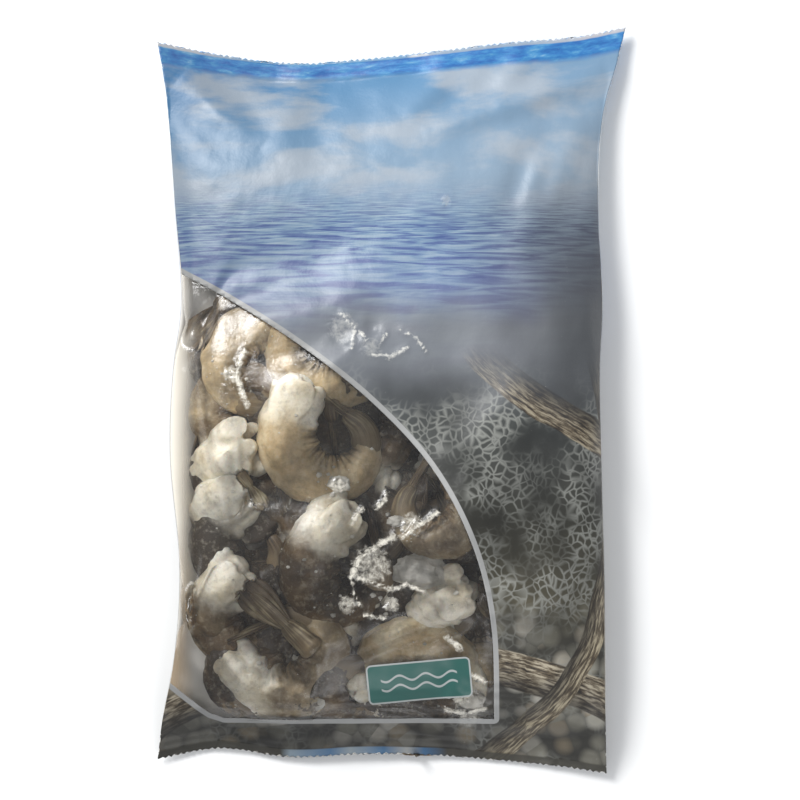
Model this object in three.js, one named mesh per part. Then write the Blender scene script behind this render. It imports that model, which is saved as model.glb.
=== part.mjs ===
// A pillow pack of frozen raw whiteleg shrimp, lying on its back with the printed front up.
//
// The pack is one tube of film, crimped shut at both ends and joined down the middle of its back by
// a fin seal that lies folded flat. Its front drapes over the shrimp inside: each one pushes a bump
// into the film, which sags between them. The corners of the end seals stay flat and stand out as
// ears, because film that is filled gets narrower than film that is sealed flat.
//
// Millimetres. X runs across the pack, Y along it towards the top seal, Z up. The origin is the
// centre of the pack's box, on the surface that it lies on.

import * as THREE from "three";

// ---- Driving dimensions ----

const SEAL_HEIGHT = 12; // of each crimped end seal, along Y
const SEAL_THICKNESS = 0.8; // two films, drawn thick enough to hold as a solid
const PACK_LENGTH = 350; // between the furthest corners of the two cut edges
const CRIMP_DEPTH = 0.35; // how far the ribs of the jaws push the seal up and down
const TOOTH_DEPTH = 0.9; // of the zigzag that the knife leaves on the cut edge
const TEETH_PER_COLUMN = 2;

const FIN_WIDTH = 12; // the flap of the back seal
const FIN_THICKNESS = 0.8;
const FIN_GROOVE = 2.5; // the gap where the flap's free edge lies against the back
const FIN_STEPS = { free: 0.1, joined: 0.4 }; // how far the flap's two edges slope, across the pack
const FIN_CLEAR = 0.03; // share of half the pack's width that other columns keep from the flap

const SAG = 9.5; // how far the film hangs in between two shrimp
const PRESS = 2.4; // how far the film flattens the highest part of a shrimp
// The shrimp fill the pack up to the first Y, and none of them reaches the second.
const SHRIMP_END = [55, 95];

// A peeled shrimp without its head, as [share of its length from the head, half its depth from back
// to belly, half its width].
const SHRIMP_LENGTH = 83;
const SHRIMP_STEPS = 24;
const SHRIMP_BODY = [
  [0, 12.5, 10],
  [0.12, 14.5, 11.7],
  [0.3, 14.8, 12],
  [0.55, 13, 10.6],
  [0.8, 9, 7.4],
  [1, 5.5, 4.8],
];
const TAIL_BEND = 0.35; // how much tighter than the whole body its tail end bends

// Across the pack the front rises from the side folds as a rounded square, and near a seal as a
// flatter hump.
const CROWN_SQUARENESS = 2.3;
const CROWN_RISE = { filled: 0.52, nearSeal: 1.5 };

// How far from a seal, as a share of the pack's length, it still shapes the film.
const BACK_REACH = 0.01;
const SAG_REACH = 0.03;
const EAR_REACH = 0.05;
const WAVE_REACH = 0.06;
const PLEAT_REACH = 0.07;
const FOLD_REACH = 0.04;
const PLEAT_ROOT = 2.2; // pleats reach their full height at this many seal heights from the end

// Waves across the pack, as [height, radians from the middle to a side, phase].
const TOP_SEAL_WAVES = [[1.8, 3.4, 0.6]];
const BOTTOM_SEAL_WAVES = [[1.6, 5.1, 2.2]];
const TOP_PLEATS = [
  [1.1, 11, 1],
  [0.7, 23, 0.3],
];
const BOTTOM_PLEATS = [
  [1.5, 14, 2],
  [0.9, 27, 0],
];
const FRONT_FOLDS = { height: 1.6, along: 150, slant: 3 }; // above the bottom seal

// The two side edges, as [share of the length from the bottom, left X, right X].
const SIDES = [
  [0, -109, 101],
  [0.06, -106, 100],
  [0.15, -100, 99.5],
  [0.27, -97.5, 99],
  [0.43, -102, 97.5],
  [0.55, -100.5, 97],
  [0.63, -97, 98.5],
  [0.76, -100, 96.5],
  [0.89, -103.5, 99.5],
  [0.955, -106, 106],
  [1, -109, 110],
];

// The two cut edges would lie here if they were straight.
const STRAIGHT_CUTS = { bottom: -167, top: 165 };

// The two cut edges, as [place across from -1 at the left to 1 at the right, bottom Y, top Y].
const CUT_EDGES = [
  [-1, -168.5, 168],
  [-0.72, -163.5, 162],
  [-0.42, -167.5, 158],
  [-0.1, -166, 160],
  [0.2, -166.5, 163.5],
  [0.5, -169, 167.5],
  [0.8, -172, 170.5],
  [1, -175, 175],
];

// The filled shape, as [share of the length, height of the side edge, rise of the front above it,
// drop of the back below it]. The end seals hang down from it to the table.
const FILLING = [
  [0, 3.5, 0, 0],
  [0.034, 9, 0.4, 0.4],
  [0.075, 15, 13, 13],
  [0.14, 19, 23, 24],
  [0.27, 20, 27, 27],
  [0.45, 20, 27, 27],
  [0.6, 18, 25, 25],
  [0.74, 15, 19, 20],
  [0.86, 12, 12, 14],
  [0.93, 10, 6, 8],
  [0.966, 9, 0.4, 0.4],
  [1, 7.5, 0, 0],
];

// Shrimp that press on the front behind its clear window, as [X, Y, degrees that the open side of
// the curl faces, size, degrees of curl, turned over, tilt, roll, how far below the full front].
// Tilt turns a shrimp about the line that its open side faces, and roll lifts that side.
const WINDOW_SHRIMP = [
  [-30, -23, 93, 1.06, 268, false, 5, -6, 0],
  [-72, -38, 48, 1.22, 250, false, 12, -66, 0],
  [-73, -65, 62, 1.0, 240, false, 12, -46, 1.5],
  [-24, -82, 62, 1.06, 255, false, 24, -8, 1],
  [-66, -105, 70, 1.0, 240, false, 14, -28, 3],
  [-44, -119, 158, 1.06, 262, false, -8, 8, 0],
  [23, -51, 108, 0.94, 265, true, 6, 8, 0],
  [36, -105, 60, 0.96, 240, false, 10, -55, 1],
  [6, -124, 315, 1.0, 250, false, 10, 14, 0],
  [-67, 22, 60, 0.98, 240, false, -6, 10, 0],
  [-36, 22, 25, 0.98, 250, true, 8, -6, 1],
  [-9, 0, 250, 0.84, 225, false, -12, 14, 5],
  [-79, 0, 300, 0.84, 235, true, 18, 8, 7],
];

// The rest press on it in rows, over the part of the front that is printed.
const HIDDEN_ROWS = { left: -82, right: 82, bottom: -148, top: 62 };
const HIDDEN_PITCH = { across: 37, along: 32 };
const HIDDEN_JITTER = 7;
const HIDDEN_SIZE = 0.86;
const HIDDEN_CURL = 252;
const CLEAR_OF_WINDOW = 30; // from the middle of one of these to one in the window

const FRONT_COLUMNS = 50;
const BACK_COLUMNS = 16;
const BODY_ROWS = 56;
const SEAL_ROWS = 6;
const ROW_LEAN = 0.3; // rows are closer together at the bottom by this share, and wider at the top
const RELAX_STEPS = 70;
const FILM_STIFFNESS = 0.13; // how hard the film is drawn back to its sagging shape at each step
const RELAX_SHARE = 0.8; // how far each step moves it
const EASE_STEPS = 1; // last steps, in which the film rounds off the edges of the shrimp

// ---- Small tools ----

const lerp = THREE.MathUtils.lerp;
const smoothstep = THREE.MathUtils.smoothstep;
const clamp = THREE.MathUtils.clamp;

// A smooth curve through a table whose first number is the place and whose others are the values.
function curveOf(table) {
  const places = table.map((row) => row[0]);
  const values = table.flatMap((row) => row.slice(1));
  const size = table[0].length - 1;
  return (at) => {
    const curve = new THREE.CubicInterpolant(places, values, size);
    return [...curve.evaluate(clamp(at, places[0], places.at(-1)))];
  };
}

const sidesAt = curveOf(SIDES);
const cutEdgesAt = curveOf(CUT_EDGES);
const fillingAt = curveOf(FILLING);
const bodyAt = curveOf(SHRIMP_BODY);

const SEAL_SHARE = SEAL_HEIGHT / PACK_LENGTH;

// How much a place along the pack belongs to the end seals and the film just beside them.
function nearSeal(t, reach) {
  const fromEnd = Math.min(t, 1 - t) - SEAL_SHARE;
  return Math.exp(-Math.max(fromEnd, 0) / reach);
}

// Places from 0 to 1 that are closer together towards both ends.
function spacedPlaces(count, bunching) {
  return Array.from({ length: count + 1 }, (_, i) => {
    const even = i / count;
    const bunched = 0.5 - 0.5 * Math.cos(Math.PI * even);
    return lerp(even, bunched, bunching);
  });
}

function sumOfWaves(rows, s) {
  return rows.reduce((sum, [height, pace, phase]) => sum + height * Math.sin(pace * s + phase), 0);
}

// ---- The film's shape ----

// Where a point of the film lies on the table: s from -1 at the left edge to 1 at the right, t from
// 0 at the bottom cut edge to 1 at the top one.
function planOf(s, t) {
  const [left, right] = sidesAt(t);
  const [bottom, top] = cutEdgesAt(s);
  const y =
    lerp(STRAIGHT_CUTS.bottom, STRAIGHT_CUTS.top, t) +
    (bottom - STRAIGHT_CUTS.bottom) * (1 - t) ** 3 +
    (top - STRAIGHT_CUTS.top) * t ** 3;
  return new THREE.Vector2(lerp(left, right, (s + 1) / 2), y);
}

// The crown across the pack: 1 in the middle and 0 at the sides. It is full where the pack is
// filled, and thin at the sides near a seal, which is what makes the ears.
function crown(s, t) {
  const ears = nearSeal(t, EAR_REACH);
  const rise = lerp(CROWN_RISE.filled, CROWN_RISE.nearSeal, ears);
  return (1 - Math.abs(s) ** CROWN_SQUARENESS) ** rise;
}

// The middle of the end seals wanders up and down, and so does the film's edge beside them.
function sealWave(s, t) {
  const waves = t > 0.5 ? TOP_SEAL_WAVES : BOTTOM_SEAL_WAVES;
  return sumOfWaves(waves, s) * nearSeal(t, WAVE_REACH);
}

function edgeHeight(s, t) {
  return fillingAt(t)[0] + sealWave(s, t);
}

// Pleats that run out of each seal, and soft folds across the front above the bottom one.
function pleats(s, t) {
  const rootShare = smoothstep(Math.min(t, 1 - t), SEAL_SHARE, SEAL_SHARE * PLEAT_ROOT);
  const pleat = sumOfWaves(t > 0.5 ? TOP_PLEATS : BOTTOM_PLEATS, s) * nearSeal(t, PLEAT_REACH);
  const { height, along, slant } = FRONT_FOLDS;
  const fold = t < 0.5 ? height * Math.sin(along * t + slant * s) * nearSeal(t, FOLD_REACH) : 0;
  return (pleat + fold) * rootShare * (1 - s ** 4);
}

// ---- The shrimp that the front drapes over ----

// A repeatable stand-in for a random number from -1 to 1.
function wobble(n) {
  const x = Math.sin(n * 127.1 + 311.7) * 43758.5453;
  return 2 * (x - Math.floor(x)) - 1;
}

function hiddenShrimp() {
  const found = [];
  const { left, right, bottom, top } = HIDDEN_ROWS;
  let row = 0;
  for (let y = bottom; y <= top; y += HIDDEN_PITCH.along) {
    const shift = (row % 2) * (HIDDEN_PITCH.across / 2);
    for (let x = left + shift; x <= right; x += HIDDEN_PITCH.across) {
      const n = found.length + row * 7;
      const place = [x + HIDDEN_JITTER * wobble(n), y + HIDDEN_JITTER * wobble(n + 0.5)];
      const clear = WINDOW_SHRIMP.every(
        ([wx, wy]) => Math.hypot(place[0] - wx, place[1] - wy) > CLEAR_OF_WINDOW,
      );
      const facing = 180 * wobble(n + 0.25);
      if (clear) found.push([...place, facing, HIDDEN_SIZE, HIDDEN_CURL, false, 0, 0, 0]);
    }
    row += 1;
  }
  return found;
}

// The middle line of a shrimp's body from head to tail, with half its depth and half its width at
// each point. It bends tighter towards the tail, and its open side faces +X before it is turned.
function curledBody(size, curl) {
  const pace = (SHRIMP_LENGTH * size) / SHRIMP_STEPS;
  const point = new THREE.Vector3();
  const line = [];
  let turn = 0;
  for (let i = 0; i <= SHRIMP_STEPS; i += 1) {
    const share = i / SHRIMP_STEPS;
    const [depth, width] = bodyAt(share);
    line.push({ point: point.clone(), reach: depth * size, rise: width * size });
    turn += (curl / SHRIMP_STEPS) * (1 - TAIL_BEND + 2 * TAIL_BEND * share);
    point.add(new THREE.Vector3(pace * Math.cos(turn), pace * Math.sin(turn), 0));
  }
  const middle = line
    .reduce((sum, part) => sum.add(part.point), new THREE.Vector3())
    .divideScalar(line.length);
  const gap = line[0].point.clone().lerp(line.at(-1).point, 0.5).sub(middle);
  const straighten = new THREE.Matrix4().makeRotationZ(-Math.atan2(gap.y, gap.x));
  line.forEach((part) => part.point.sub(middle).applyMatrix4(straighten));
  return line;
}

// A shrimp as the film feels it: its body's line in place, with heights from the full front. What
// is higher than the front is what the film flattens.
function lyingShrimp([x, y, facing, size, curl, turnedOver, tilt, roll, depth]) {
  const radians = THREE.MathUtils.degToRad;
  const turn = new THREE.Matrix4()
    .makeRotationZ(radians(facing))
    .multiply(new THREE.Matrix4().makeRotationY(radians(roll)))
    .multiply(new THREE.Matrix4().makeRotationX(radians(tilt) + (turnedOver ? Math.PI : 0)));
  const line = curledBody(size, radians(curl));
  line.forEach((part) => part.point.applyMatrix4(turn));
  const highest = Math.max(...line.map((part) => part.point.z + part.rise));
  line.forEach((part) => part.point.add(new THREE.Vector3(x, y, PRESS - highest - depth)));
  return line;
}

// How high a shrimp reaches at a place on the table, as a height from the full front.
function shrimpTop(line, place) {
  const heights = line.map(({ point, reach, rise }) => {
    const share = Math.hypot(point.x - place.x, point.y - place.y) / reach;
    return share < 1 ? point.z + rise * Math.sqrt(1 - share ** 2) : -Infinity;
  });
  return Math.min(Math.max(...heights), 0);
}

// ---- The front, as a grid of heights ----

const across = spacedPlaces(FRONT_COLUMNS, 0.45).map((share) => 2 * share - 1);
const bodyPlaces = spacedPlaces(BODY_ROWS, 0.3).map((share) =>
  lerp(SEAL_SHARE, 1 - SEAL_SHARE, share - ROW_LEAN * share * (1 - share)),
);
const sealPlaces = Array.from(
  { length: SEAL_ROWS },
  (_, i) => (SEAL_SHARE * (i + 0.5)) / SEAL_ROWS,
);
const along = [
  ...sealPlaces,
  ...bodyPlaces,
  ...sealPlaces.map((place) => 1 - place).reverse(),
];

function isSeal(t) {
  return Math.min(t, 1 - t) < SEAL_SHARE * 0.999;
}

// The front as it would stand if the pack were blown up tight.
function fullFront(s, t) {
  return edgeHeight(s, t) + fillingAt(t)[1] * crown(s, t);
}

// The film is drawn towards a sagging shape and held up by the shrimp, and each step evens it out
// with its neighbours. What is left is a skin that hangs from bump to bump.
function drapedFront() {
  const plans = along.map((t) => across.map((s) => planOf(s, t)));
  const shrimp = [...WINDOW_SHRIMP, ...hiddenShrimp()].map(lyingShrimp);
  const full = along.map((t) => across.map((s) => fullFront(s, t)));
  const rest = along.map((t, j) =>
    across.map((s, i) => {
      const loose = 1 - smoothstep(plans[j][i].y, ...SHRIMP_END);
      return full[j][i] - SAG * loose * crown(s, t) * (1 - nearSeal(t, SAG_REACH));
    }),
  );
  const held = along.map((t, j) =>
    across.map((s, i) => full[j][i] + Math.max(...shrimp.map((line) => shrimpTop(line, plans[j][i])))),
  );
  let film = rest.map((row) => [...row]);
  for (let step = 0; step < RELAX_STEPS; step += 1) {
    const easing = step >= RELAX_STEPS - EASE_STEPS;
    film = film.map((row, j) =>
      row.map((height, i) => {
        const onEdge = i === 0 || i === row.length - 1;
        if (onEdge || isSeal(along[j]) || isSeal(along[j - 1]) || isSeal(along[j + 1]))
          return height;
        const beside = (row[i - 1] + row[i + 1] + film[j - 1][i] + film[j + 1][i]) / 4;
        const drawn =
          (beside + FILM_STIFFNESS * rest[j][i]) / (1 + FILM_STIFFNESS);
        return Math.max(lerp(height, drawn, RELAX_SHARE), easing ? -Infinity : held[j][i]);
      }),
    );
  }
  return film.map((row, j) =>
    row.map((height, i) => height + pleats(across[i], along[j])),
  );
}

// ---- The back ----

const backAcross = spacedPlaces(BACK_COLUMNS, 0.45).map((share) => 1 - 2 * share);

// The flap of the fin seal stands proud of the back, and its free edge lies in a shallow groove.
function finRelief(x) {
  const half = FIN_WIDTH / 2;
  if (Math.abs(x) <= half) return -FIN_THICKNESS;
  return x > half && x < half + FIN_GROOVE ? FIN_THICKNESS : 0;
}

// Across the back the columns follow the flap's two edges, so that it keeps its straight sides.
function backColumnsAt(t) {
  const [left, right] = sidesAt(t);
  const half = FIN_WIDTH / 2;
  const finEdges = [half + FIN_GROOVE, half + FIN_STEPS.free, half, -half, -half - FIN_STEPS.joined];
  const middle = (left + right) / 2;
  const reach = (right - left) / 2;
  const fin = finEdges.map((x) => (x - middle) / reach);
  const widest = fin[0] + FIN_CLEAR;
  const narrowest = fin.at(-1) - FIN_CLEAR;
  const outer = backAcross.filter((s) => s > widest || s < narrowest);
  return [...outer.filter((s) => s > 0), ...fin, ...outer.filter((s) => s < 0)];
}

function backHeight(s, t, x) {
  if (isSeal(t)) return edgeHeight(s, t) - sealHalf(s);
  const drop = fillingAt(t)[2] * crown(s, t) + sealHalf(s) * nearSeal(t, BACK_REACH);
  const full = edgeHeight(s, t) - drop;
  const lying = Math.max(full, 0);
  return Math.max(lying + finRelief(x), 0);
}

// Half the thickness of the sealed films, which closes to nothing at the side folds.
function sealHalf(s) {
  return (SEAL_THICKNESS / 2) * (1 - Math.abs(s) ** 8);
}

function crimp(t) {
  const row = Math.floor((Math.min(t, 1 - t) / SEAL_SHARE) * SEAL_ROWS);
  return isSeal(t) ? CRIMP_DEPTH * (row % 2 === 0 ? 1 : -1) : 0;
}

// ---- Rings of film round the pack, and the cut edges ----

const front = drapedFront();

function frontRow(j) {
  const t = along[j];
  return across.map((s, i) => {
    const plan = planOf(s, t);
    const height = isSeal(t)
      ? edgeHeight(s, t) + sealHalf(s)
      : Math.max(front[j][i], edgeHeight(s, t));
    return new THREE.Vector3(plan.x, plan.y, height + crimp(t));
  });
}

function backRow(j) {
  const t = along[j];
  const inner = backColumnsAt(t).slice(1, -1);
  return inner.map((s) => {
    const plan = planOf(s, t);
    return new THREE.Vector3(plan.x, plan.y, backHeight(s, t, plan.x) + crimp(t));
  });
}

// One side of a cut edge: a zigzag with whole teeth between its two corners.
function cutRow(t, side) {
  const steps = FRONT_COLUMNS * TEETH_PER_COLUMN * 2;
  const outwards = t > 0.5 ? 1 : -1;
  return Array.from({ length: steps + 1 }, (_, i) => {
    const s = (2 * i) / steps - 1;
    const plan = planOf(s, t);
    const tooth = i % 2 === 1 ? TOOTH_DEPTH : 0;
    const corner = i === 0 || i === steps;
    const half = corner ? 0 : (side * SEAL_THICKNESS) / 2;
    return new THREE.Vector3(
      plan.x,
      plan.y - outwards * tooth,
      edgeHeight(s, t) + half,
    );
  });
}

// ---- Joining it all into one closed skin ----

class Skin {
  constructor() {
    this.points = [];
    this.faces = [];
  }

  add(row) {
    return row.map((point) => this.points.push(point) - 1);
  }

  // Triangles between two rows of different counts, walking along both by their X.
  zip(lower, upper) {
    const x = (index) => this.points[index].x;
    const towards = Math.sign(x(lower.at(-1)) - x(lower[0]));
    let [i, j] = [0, 0];
    while (i < lower.length - 1 || j < upper.length - 1) {
      const lowerLeft = i < lower.length - 1;
      const upperLeft = j < upper.length - 1;
      const lowerNext = lowerLeft ? x(lower[i + 1]) * towards : Infinity;
      const upperNext = upperLeft ? x(upper[j + 1]) * towards : Infinity;
      if (lowerNext <= upperNext) {
        this.face(lower[i], lower[i + 1], upper[j]);
        i += 1;
      } else {
        this.face(lower[i], upper[j + 1], upper[j]);
        j += 1;
      }
    }
  }

  // Two triangles for each pair of steps along two rows of the same count.
  band(lower, upper) {
    for (let i = 0; i < lower.length - 1; i += 1) {
      this.face(lower[i], lower[i + 1], upper[i + 1]);
      this.face(lower[i], upper[i + 1], upper[i]);
    }
  }

  face(a, b, c) {
    if (a !== b && b !== c && c !== a) this.faces.push([a, b, c]);
  }

  geometry() {
    const position = this.points.flatMap((point) => point.toArray());
    const geometry = new THREE.BufferGeometry();
    geometry.setAttribute("position", new THREE.Float32BufferAttribute(position, 3));
    geometry.setIndex(this.faces.flat());
    return geometry;
  }
}

// Closes one end: the last ring is joined to the zigzag edge on both sides, and the edge is capped.
function closeEnd(skin, ring, t) {
  const upper = skin.add(cutRow(t, 1));
  const lowerPoints = cutRow(t, -1).slice(1, -1);
  const lower = [upper[0], ...skin.add(lowerPoints), upper.at(-1)];
  const facing = (a, b) => (t > 0.5 ? [a, b] : [b, a]);
  skin.zip(...facing(ring.front, upper));
  skin.zip(...facing([...ring.back].reverse(), lower).map((row) => [...row].reverse()));
  skin.band(...facing(upper, lower));
}

function packGeometry() {
  const skin = new Skin();
  const rings = along.map((_, j) => {
    const frontIds = skin.add(frontRow(j));
    const backIds = skin.add(backRow(j));
    return { front: frontIds, back: [frontIds.at(-1), ...backIds, frontIds[0]] };
  });
  for (let j = 0; j < rings.length - 1; j += 1) {
    skin.band(rings[j].front, rings[j + 1].front);
    skin.band(rings[j].back, rings[j + 1].back);
  }
  closeEnd(skin, rings[0], 0);
  closeEnd(skin, rings.at(-1), 1);
  const geometry = skin.geometry();
  geometry.computeBoundingBox();
  const middle = geometry.boundingBox.getCenter(new THREE.Vector3());
  geometry.translate(-middle.x, -middle.y, -geometry.boundingBox.min.z);
  geometry.computeVertexNormals();
  return geometry;
}

const film = new THREE.MeshStandardMaterial({
  color: 0x9fb4c6,
  roughness: 0.32,
  metalness: 0,
});

const pack = new THREE.Mesh(packGeometry(), film);
pack.name = "shrimp_pack";

const model = new THREE.Group();
model.add(pack);

export default model;
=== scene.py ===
"""A pillow pack of frozen raw whiteleg shrimp: printed film with a clear window, lying face up."""

import math
from random import Random

import bpy
import numpy as np
from mathutils import Euler, Matrix, Vector
from mathutils.bvhtree import BVHTree


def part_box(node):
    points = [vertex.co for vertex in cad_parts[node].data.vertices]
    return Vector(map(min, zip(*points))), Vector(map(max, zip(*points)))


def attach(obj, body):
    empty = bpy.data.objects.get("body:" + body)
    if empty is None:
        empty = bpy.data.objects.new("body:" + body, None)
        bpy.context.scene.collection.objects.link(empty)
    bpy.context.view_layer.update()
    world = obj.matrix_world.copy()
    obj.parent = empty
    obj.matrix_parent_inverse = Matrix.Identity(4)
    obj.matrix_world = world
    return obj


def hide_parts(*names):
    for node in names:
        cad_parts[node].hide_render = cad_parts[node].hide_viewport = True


bl_info = {
    "name": "Frozen Shrimp Pack",
    "version": (1, 0, 0),
    "blender": (4, 5, 0),
    "location": "View3D > Sidebar > Shrimp Pack",
    "description": "A pillow pack of frozen raw shrimp with a clear window in its printed film",
    "category": "Object",
}

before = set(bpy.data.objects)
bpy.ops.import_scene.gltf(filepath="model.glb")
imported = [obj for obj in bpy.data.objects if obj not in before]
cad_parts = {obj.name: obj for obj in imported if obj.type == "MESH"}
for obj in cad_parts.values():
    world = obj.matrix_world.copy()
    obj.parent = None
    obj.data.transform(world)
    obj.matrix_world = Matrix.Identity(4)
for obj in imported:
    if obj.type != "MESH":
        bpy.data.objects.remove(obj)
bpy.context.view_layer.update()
PACK_LOW, PACK_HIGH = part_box("shrimp_pack")

MM = 0.001

# ---- Driving sizes, in millimetres in the pack's own frame: X across, Y towards the top seal ----

# The window's edge: a sweep down from the left fold to the right-hand side, then the corners.
WINDOW_SWEEP = [
    (-130, 76), (-97, 58.4), (-75, 46.5), (-42.6, 25.8), (-10, 0.2), (17.9, -30), (36.5, -65),
    (45.5, -102), (47.5, -147.5),
]
WINDOW_CORNERS = [(-78, -147.7), (-84, -145.5), (-101, -132), (-130, -109)]
SWEEP_STEPS = 8  # straight cuts between two points of the sweep
# Places where the film is crumpled and catches the light, veiled with painted glints: [X, Y,
# radius].
CRUMPLES = [
    (-22, 33, 13), (-9, 24, 9), (9, -56, 10), (-24, -39, 7), (-9, -75, 17), (-20, -93, 8),
    (0, -93, 7), (32, -135, 10), (36, -147, 10), (-73, 12, 9), (25, 92, 5),
]
# Sharp creases raised in the film, with painted white glints along them: [half its width, places
# along it].
CREASES = [
    (3.4, ((-18, -80), (-14, -71), (-6, -66), (1, -62))),
    (2.2, ((-18, -80), (-10, -82), (-1, -86), (7, -84), (15, -87))),
    (1.3, ((-18, -80), (-17, -88), (-14, -94))),
    (2.0, ((-12, -98), (-3, -99))),
    (2.2, ((5, -62), (12, -57), (21, -51))),
    (2.0, ((-18, -56), (-13, -49))),
    (2.0, ((-7, -49), (-3, -46), (-2, -42))),
    (3.0, ((25, -108), (31, -113))),
    (2.6, ((37, -126), (43, -129))),
    (2.6, ((25, -143), (34, -145), (43, -142))),
    (3.0, ((-67, 23), (-71, 13), (-69, 6), (-66, -2))),
    (1.8, ((-23, 40), (-17, 33), (-18, 24))),
    (1.5, ((-17, 33), (-10, 27))),
    (1.9, ((-9, 21), (0, 20), (7, 24))),
    (1.2, ((4, 32), (11, 29), (16, 22))),
    (1.1, ((-5, 26), (-2, 31))),
]
CREASE_HEIGHT = 0.9
# Soft folds that the film is pulled into: [one end, other end, half its width, height].
FOLDS = [
    ((99, 152), (14, 124), 5.0, 2.0), ((90, 132), (55, 62), 7.0, 1.7),
    ((-99, 150), (-60, 118), 6.0, 1.4), ((-40, 158), (-52, 112), 8.0, 1.2),
    ((28, 160), (8, 128), 6.0, 1.2), ((62, 160), (46, 138), 5.0, 1.2),
    ((70, 116), (60, 86), 4.0, 1.2), ((-99, -108), (-72, -152), 3.5, 1.8),
    ((92, -92), (58, -156), 6.0, 1.8), ((100, -152), (30, -150), 4.0, 1.5),
    ((20, -163), (-24, -152), 4.0, 1.4), ((-84, -163), (-40, -154), 4.0, 1.2),
    ((90, 60), (98, -30), 5.0, 1.6),
]


# A shrimp without its head, laid out straight: [place along it, depth from back to belly, width].
BODY_STATIONS = [
    (0, 17, 14), (3, 24, 19), (8, 28.5, 22.5), (19, 29.5, 24), (33, 27.5, 22.5), (46, 24, 19.5),
    (58, 19, 15.5), (66, 14.5, 12), (73, 11.5, 9.5),
]
BODY_STEP = 1.7
BODY_SIDES = 28
SEGMENT_GROOVES = (13, 26, 38, 49, 59)
GROOVE_DEPTH = 0.07  # share of the radius
BELLY_RIB = 4.2  # from one rib of the belly to the next
SHELL_STATIONS = [
    (61, 4, 4), (63, 10, 9), (67, 13.6, 11.6), (71, 13.6, 11.6), (77, 11.6, 10.4), (83, 8.8, 9.6),
    (86, 5.5, 7),
]
FAN_ROOT = 83
FAN_LENGTH = 25
SHUT_FAN = 0.9  # how much narrower a fan is that is folded shut
# The five blades of the tail fan: [share of the full length, width, splay, lift].
FAN_BLADES = [
    (0.82, 6.5, 0, 1.8), (1.0, 7.5, 6, 0.8), (1.0, 7.5, -6, 0.6), (0.94, 8.0, 13, -0.4),
    (0.94, 8.0, -13, -0.6),
]
# The muscles that swell where the head was pulled off: [place, radii].
HEAD_MUSCLES = [
    ((-1.5, 6.2, 7.6), (9.5, 4.8, 5.2)), ((-3.0, -5.6, 7.9), (10.0, 5.0, 4.8)),
    ((0.0, 8.2, -0.4), (9.0, 4.4, 5.4)), ((-2.5, -7.8, 0.2), (9.4, 4.3, 5.2)),
    ((-3.2, 4.4, -7.2), (9.0, 4.8, 4.9)), ((-0.5, -5.0, -7.6), (9.2, 4.9, 4.6)),
    ((-3.6, 0.4, 1.4), (9.6, 5.0, 5.8)),
]

# Shrimp against the window: [X, Y, degrees that the open side faces, size, degrees of curl,
# turned over, tilt, roll, how far below the film, tone from 0 dark to 1 pale, how far its white
# end reaches].
WINDOW_SHRIMP = [
    (-30, -23, 93, 1.06, 268, False, 5, -6, 0.0, 0.95, 5),
    (-73, -38, 54, 1.2, 238, False, 30, -60, 0.0, 0.95, 26),
    (-73, -65, 62, 1.0, 240, False, 12, -46, 1.5, 0.36, 17),
    (-24, -82, 62, 1.06, 255, False, 24, -8, 1.0, 0.08, 10),
    (-66, -105, 70, 1.0, 240, False, 14, -28, 3.0, 0.2, 8),
    (-44, -119, 158, 1.06, 262, False, -8, 8, 0.0, 0.5, 17),
    (23, -51, 108, 0.94, 265, True, 6, 8, 0.0, 0.5, -6),
    (33, -105, 60, 0.96, 256, False, 16, -50, 2.2, 0.9, 18),
    (6, -124, 315, 1.0, 250, False, 10, 14, 0.0, 1.0, 2),
    (-65, 18, 345, 0.98, 240, False, -6, 10, 1.0, 0.66, -10),
    (-36, 21, 25, 0.96, 250, True, 8, -6, 2.6, 0.8, 4),
    (-9, 0, 250, 0.84, 225, False, -12, 14, 5.0, 0.1, -10),
    (-79, 0, 300, 0.84, 235, True, 18, 8, 7.0, 0.4, 10),
    (52, -134, 200, 0.8, 240, True, -10, 12, 4.0, 0.5, 6),
    (-84, -128, 120, 0.9, 240, False, 0, 0, 9.0, 0.3, -12),
]
# Tails of shrimp from deeper down, folded shut against the window: [X, Y, degrees that their tips
# point, size, tone].
WINDOW_TAILS = [(-84, 38, 228, 1.05, 0.2), (-53, -99, 139, 1.2, 0.9), (-63, -42, 305, 0.55, 1.4)]
TAIL_CUT = 74  # place along a shrimp where such a tail goes under the others
TAIL_DENT = 0.3  # gap that the flesh under such a tail keeps from it

# The share of a shrimp's surface that the film or the back may press flat.
PRESSED_SHARE = 0.03
SIDE_LIMIT = 95  # how far the shrimp may reach to the left and right
BODY_VARIANTS = 4
LAYERS = ("upper", "lower")
PARTS = ("shrimp", "tails")

LABEL_CENTRE = (12.8, -128.8)
LABEL_TURN = 5.4

# Shares of the triangles kept in the shrimp on top, in those below and in the bodies that the film
# is draped over.
UPPER_SHARE = 0.7
LOWER_SHARE = 0.42
LOWER_TAIL_SHARE = 0.4
STONE_SHARE = 0.12
FLESH_VOXEL = 1.05
MUSCLE_BUMPS = ((16, 2.2), (5, 1.3))  # size and strength of each
FROST_BUMPS = (3.5, 0.7)  # size and strength
# Fitting a shrimp into the pack: every how many points are looked at, tries, and a step sideways.
FIT_SAMPLE = 9
FIT_TRIES = 30
FIT_STEP = 2
# The grid of the lower layer's shrimp: its first place, pitch, shift of every other row, and how
# far each shrimp may stray and tilt.
LOWER_START = (-84, -140)
LOWER_ROWS = 8
LOWER_COLUMNS = 6
LOWER_PITCH = 27
LOWER_SHIFT = 13
LOWER_JITTER = 4
LOWER_TILT = 18
LOWER_NUMBER = 40  # number of the first of them
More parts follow.
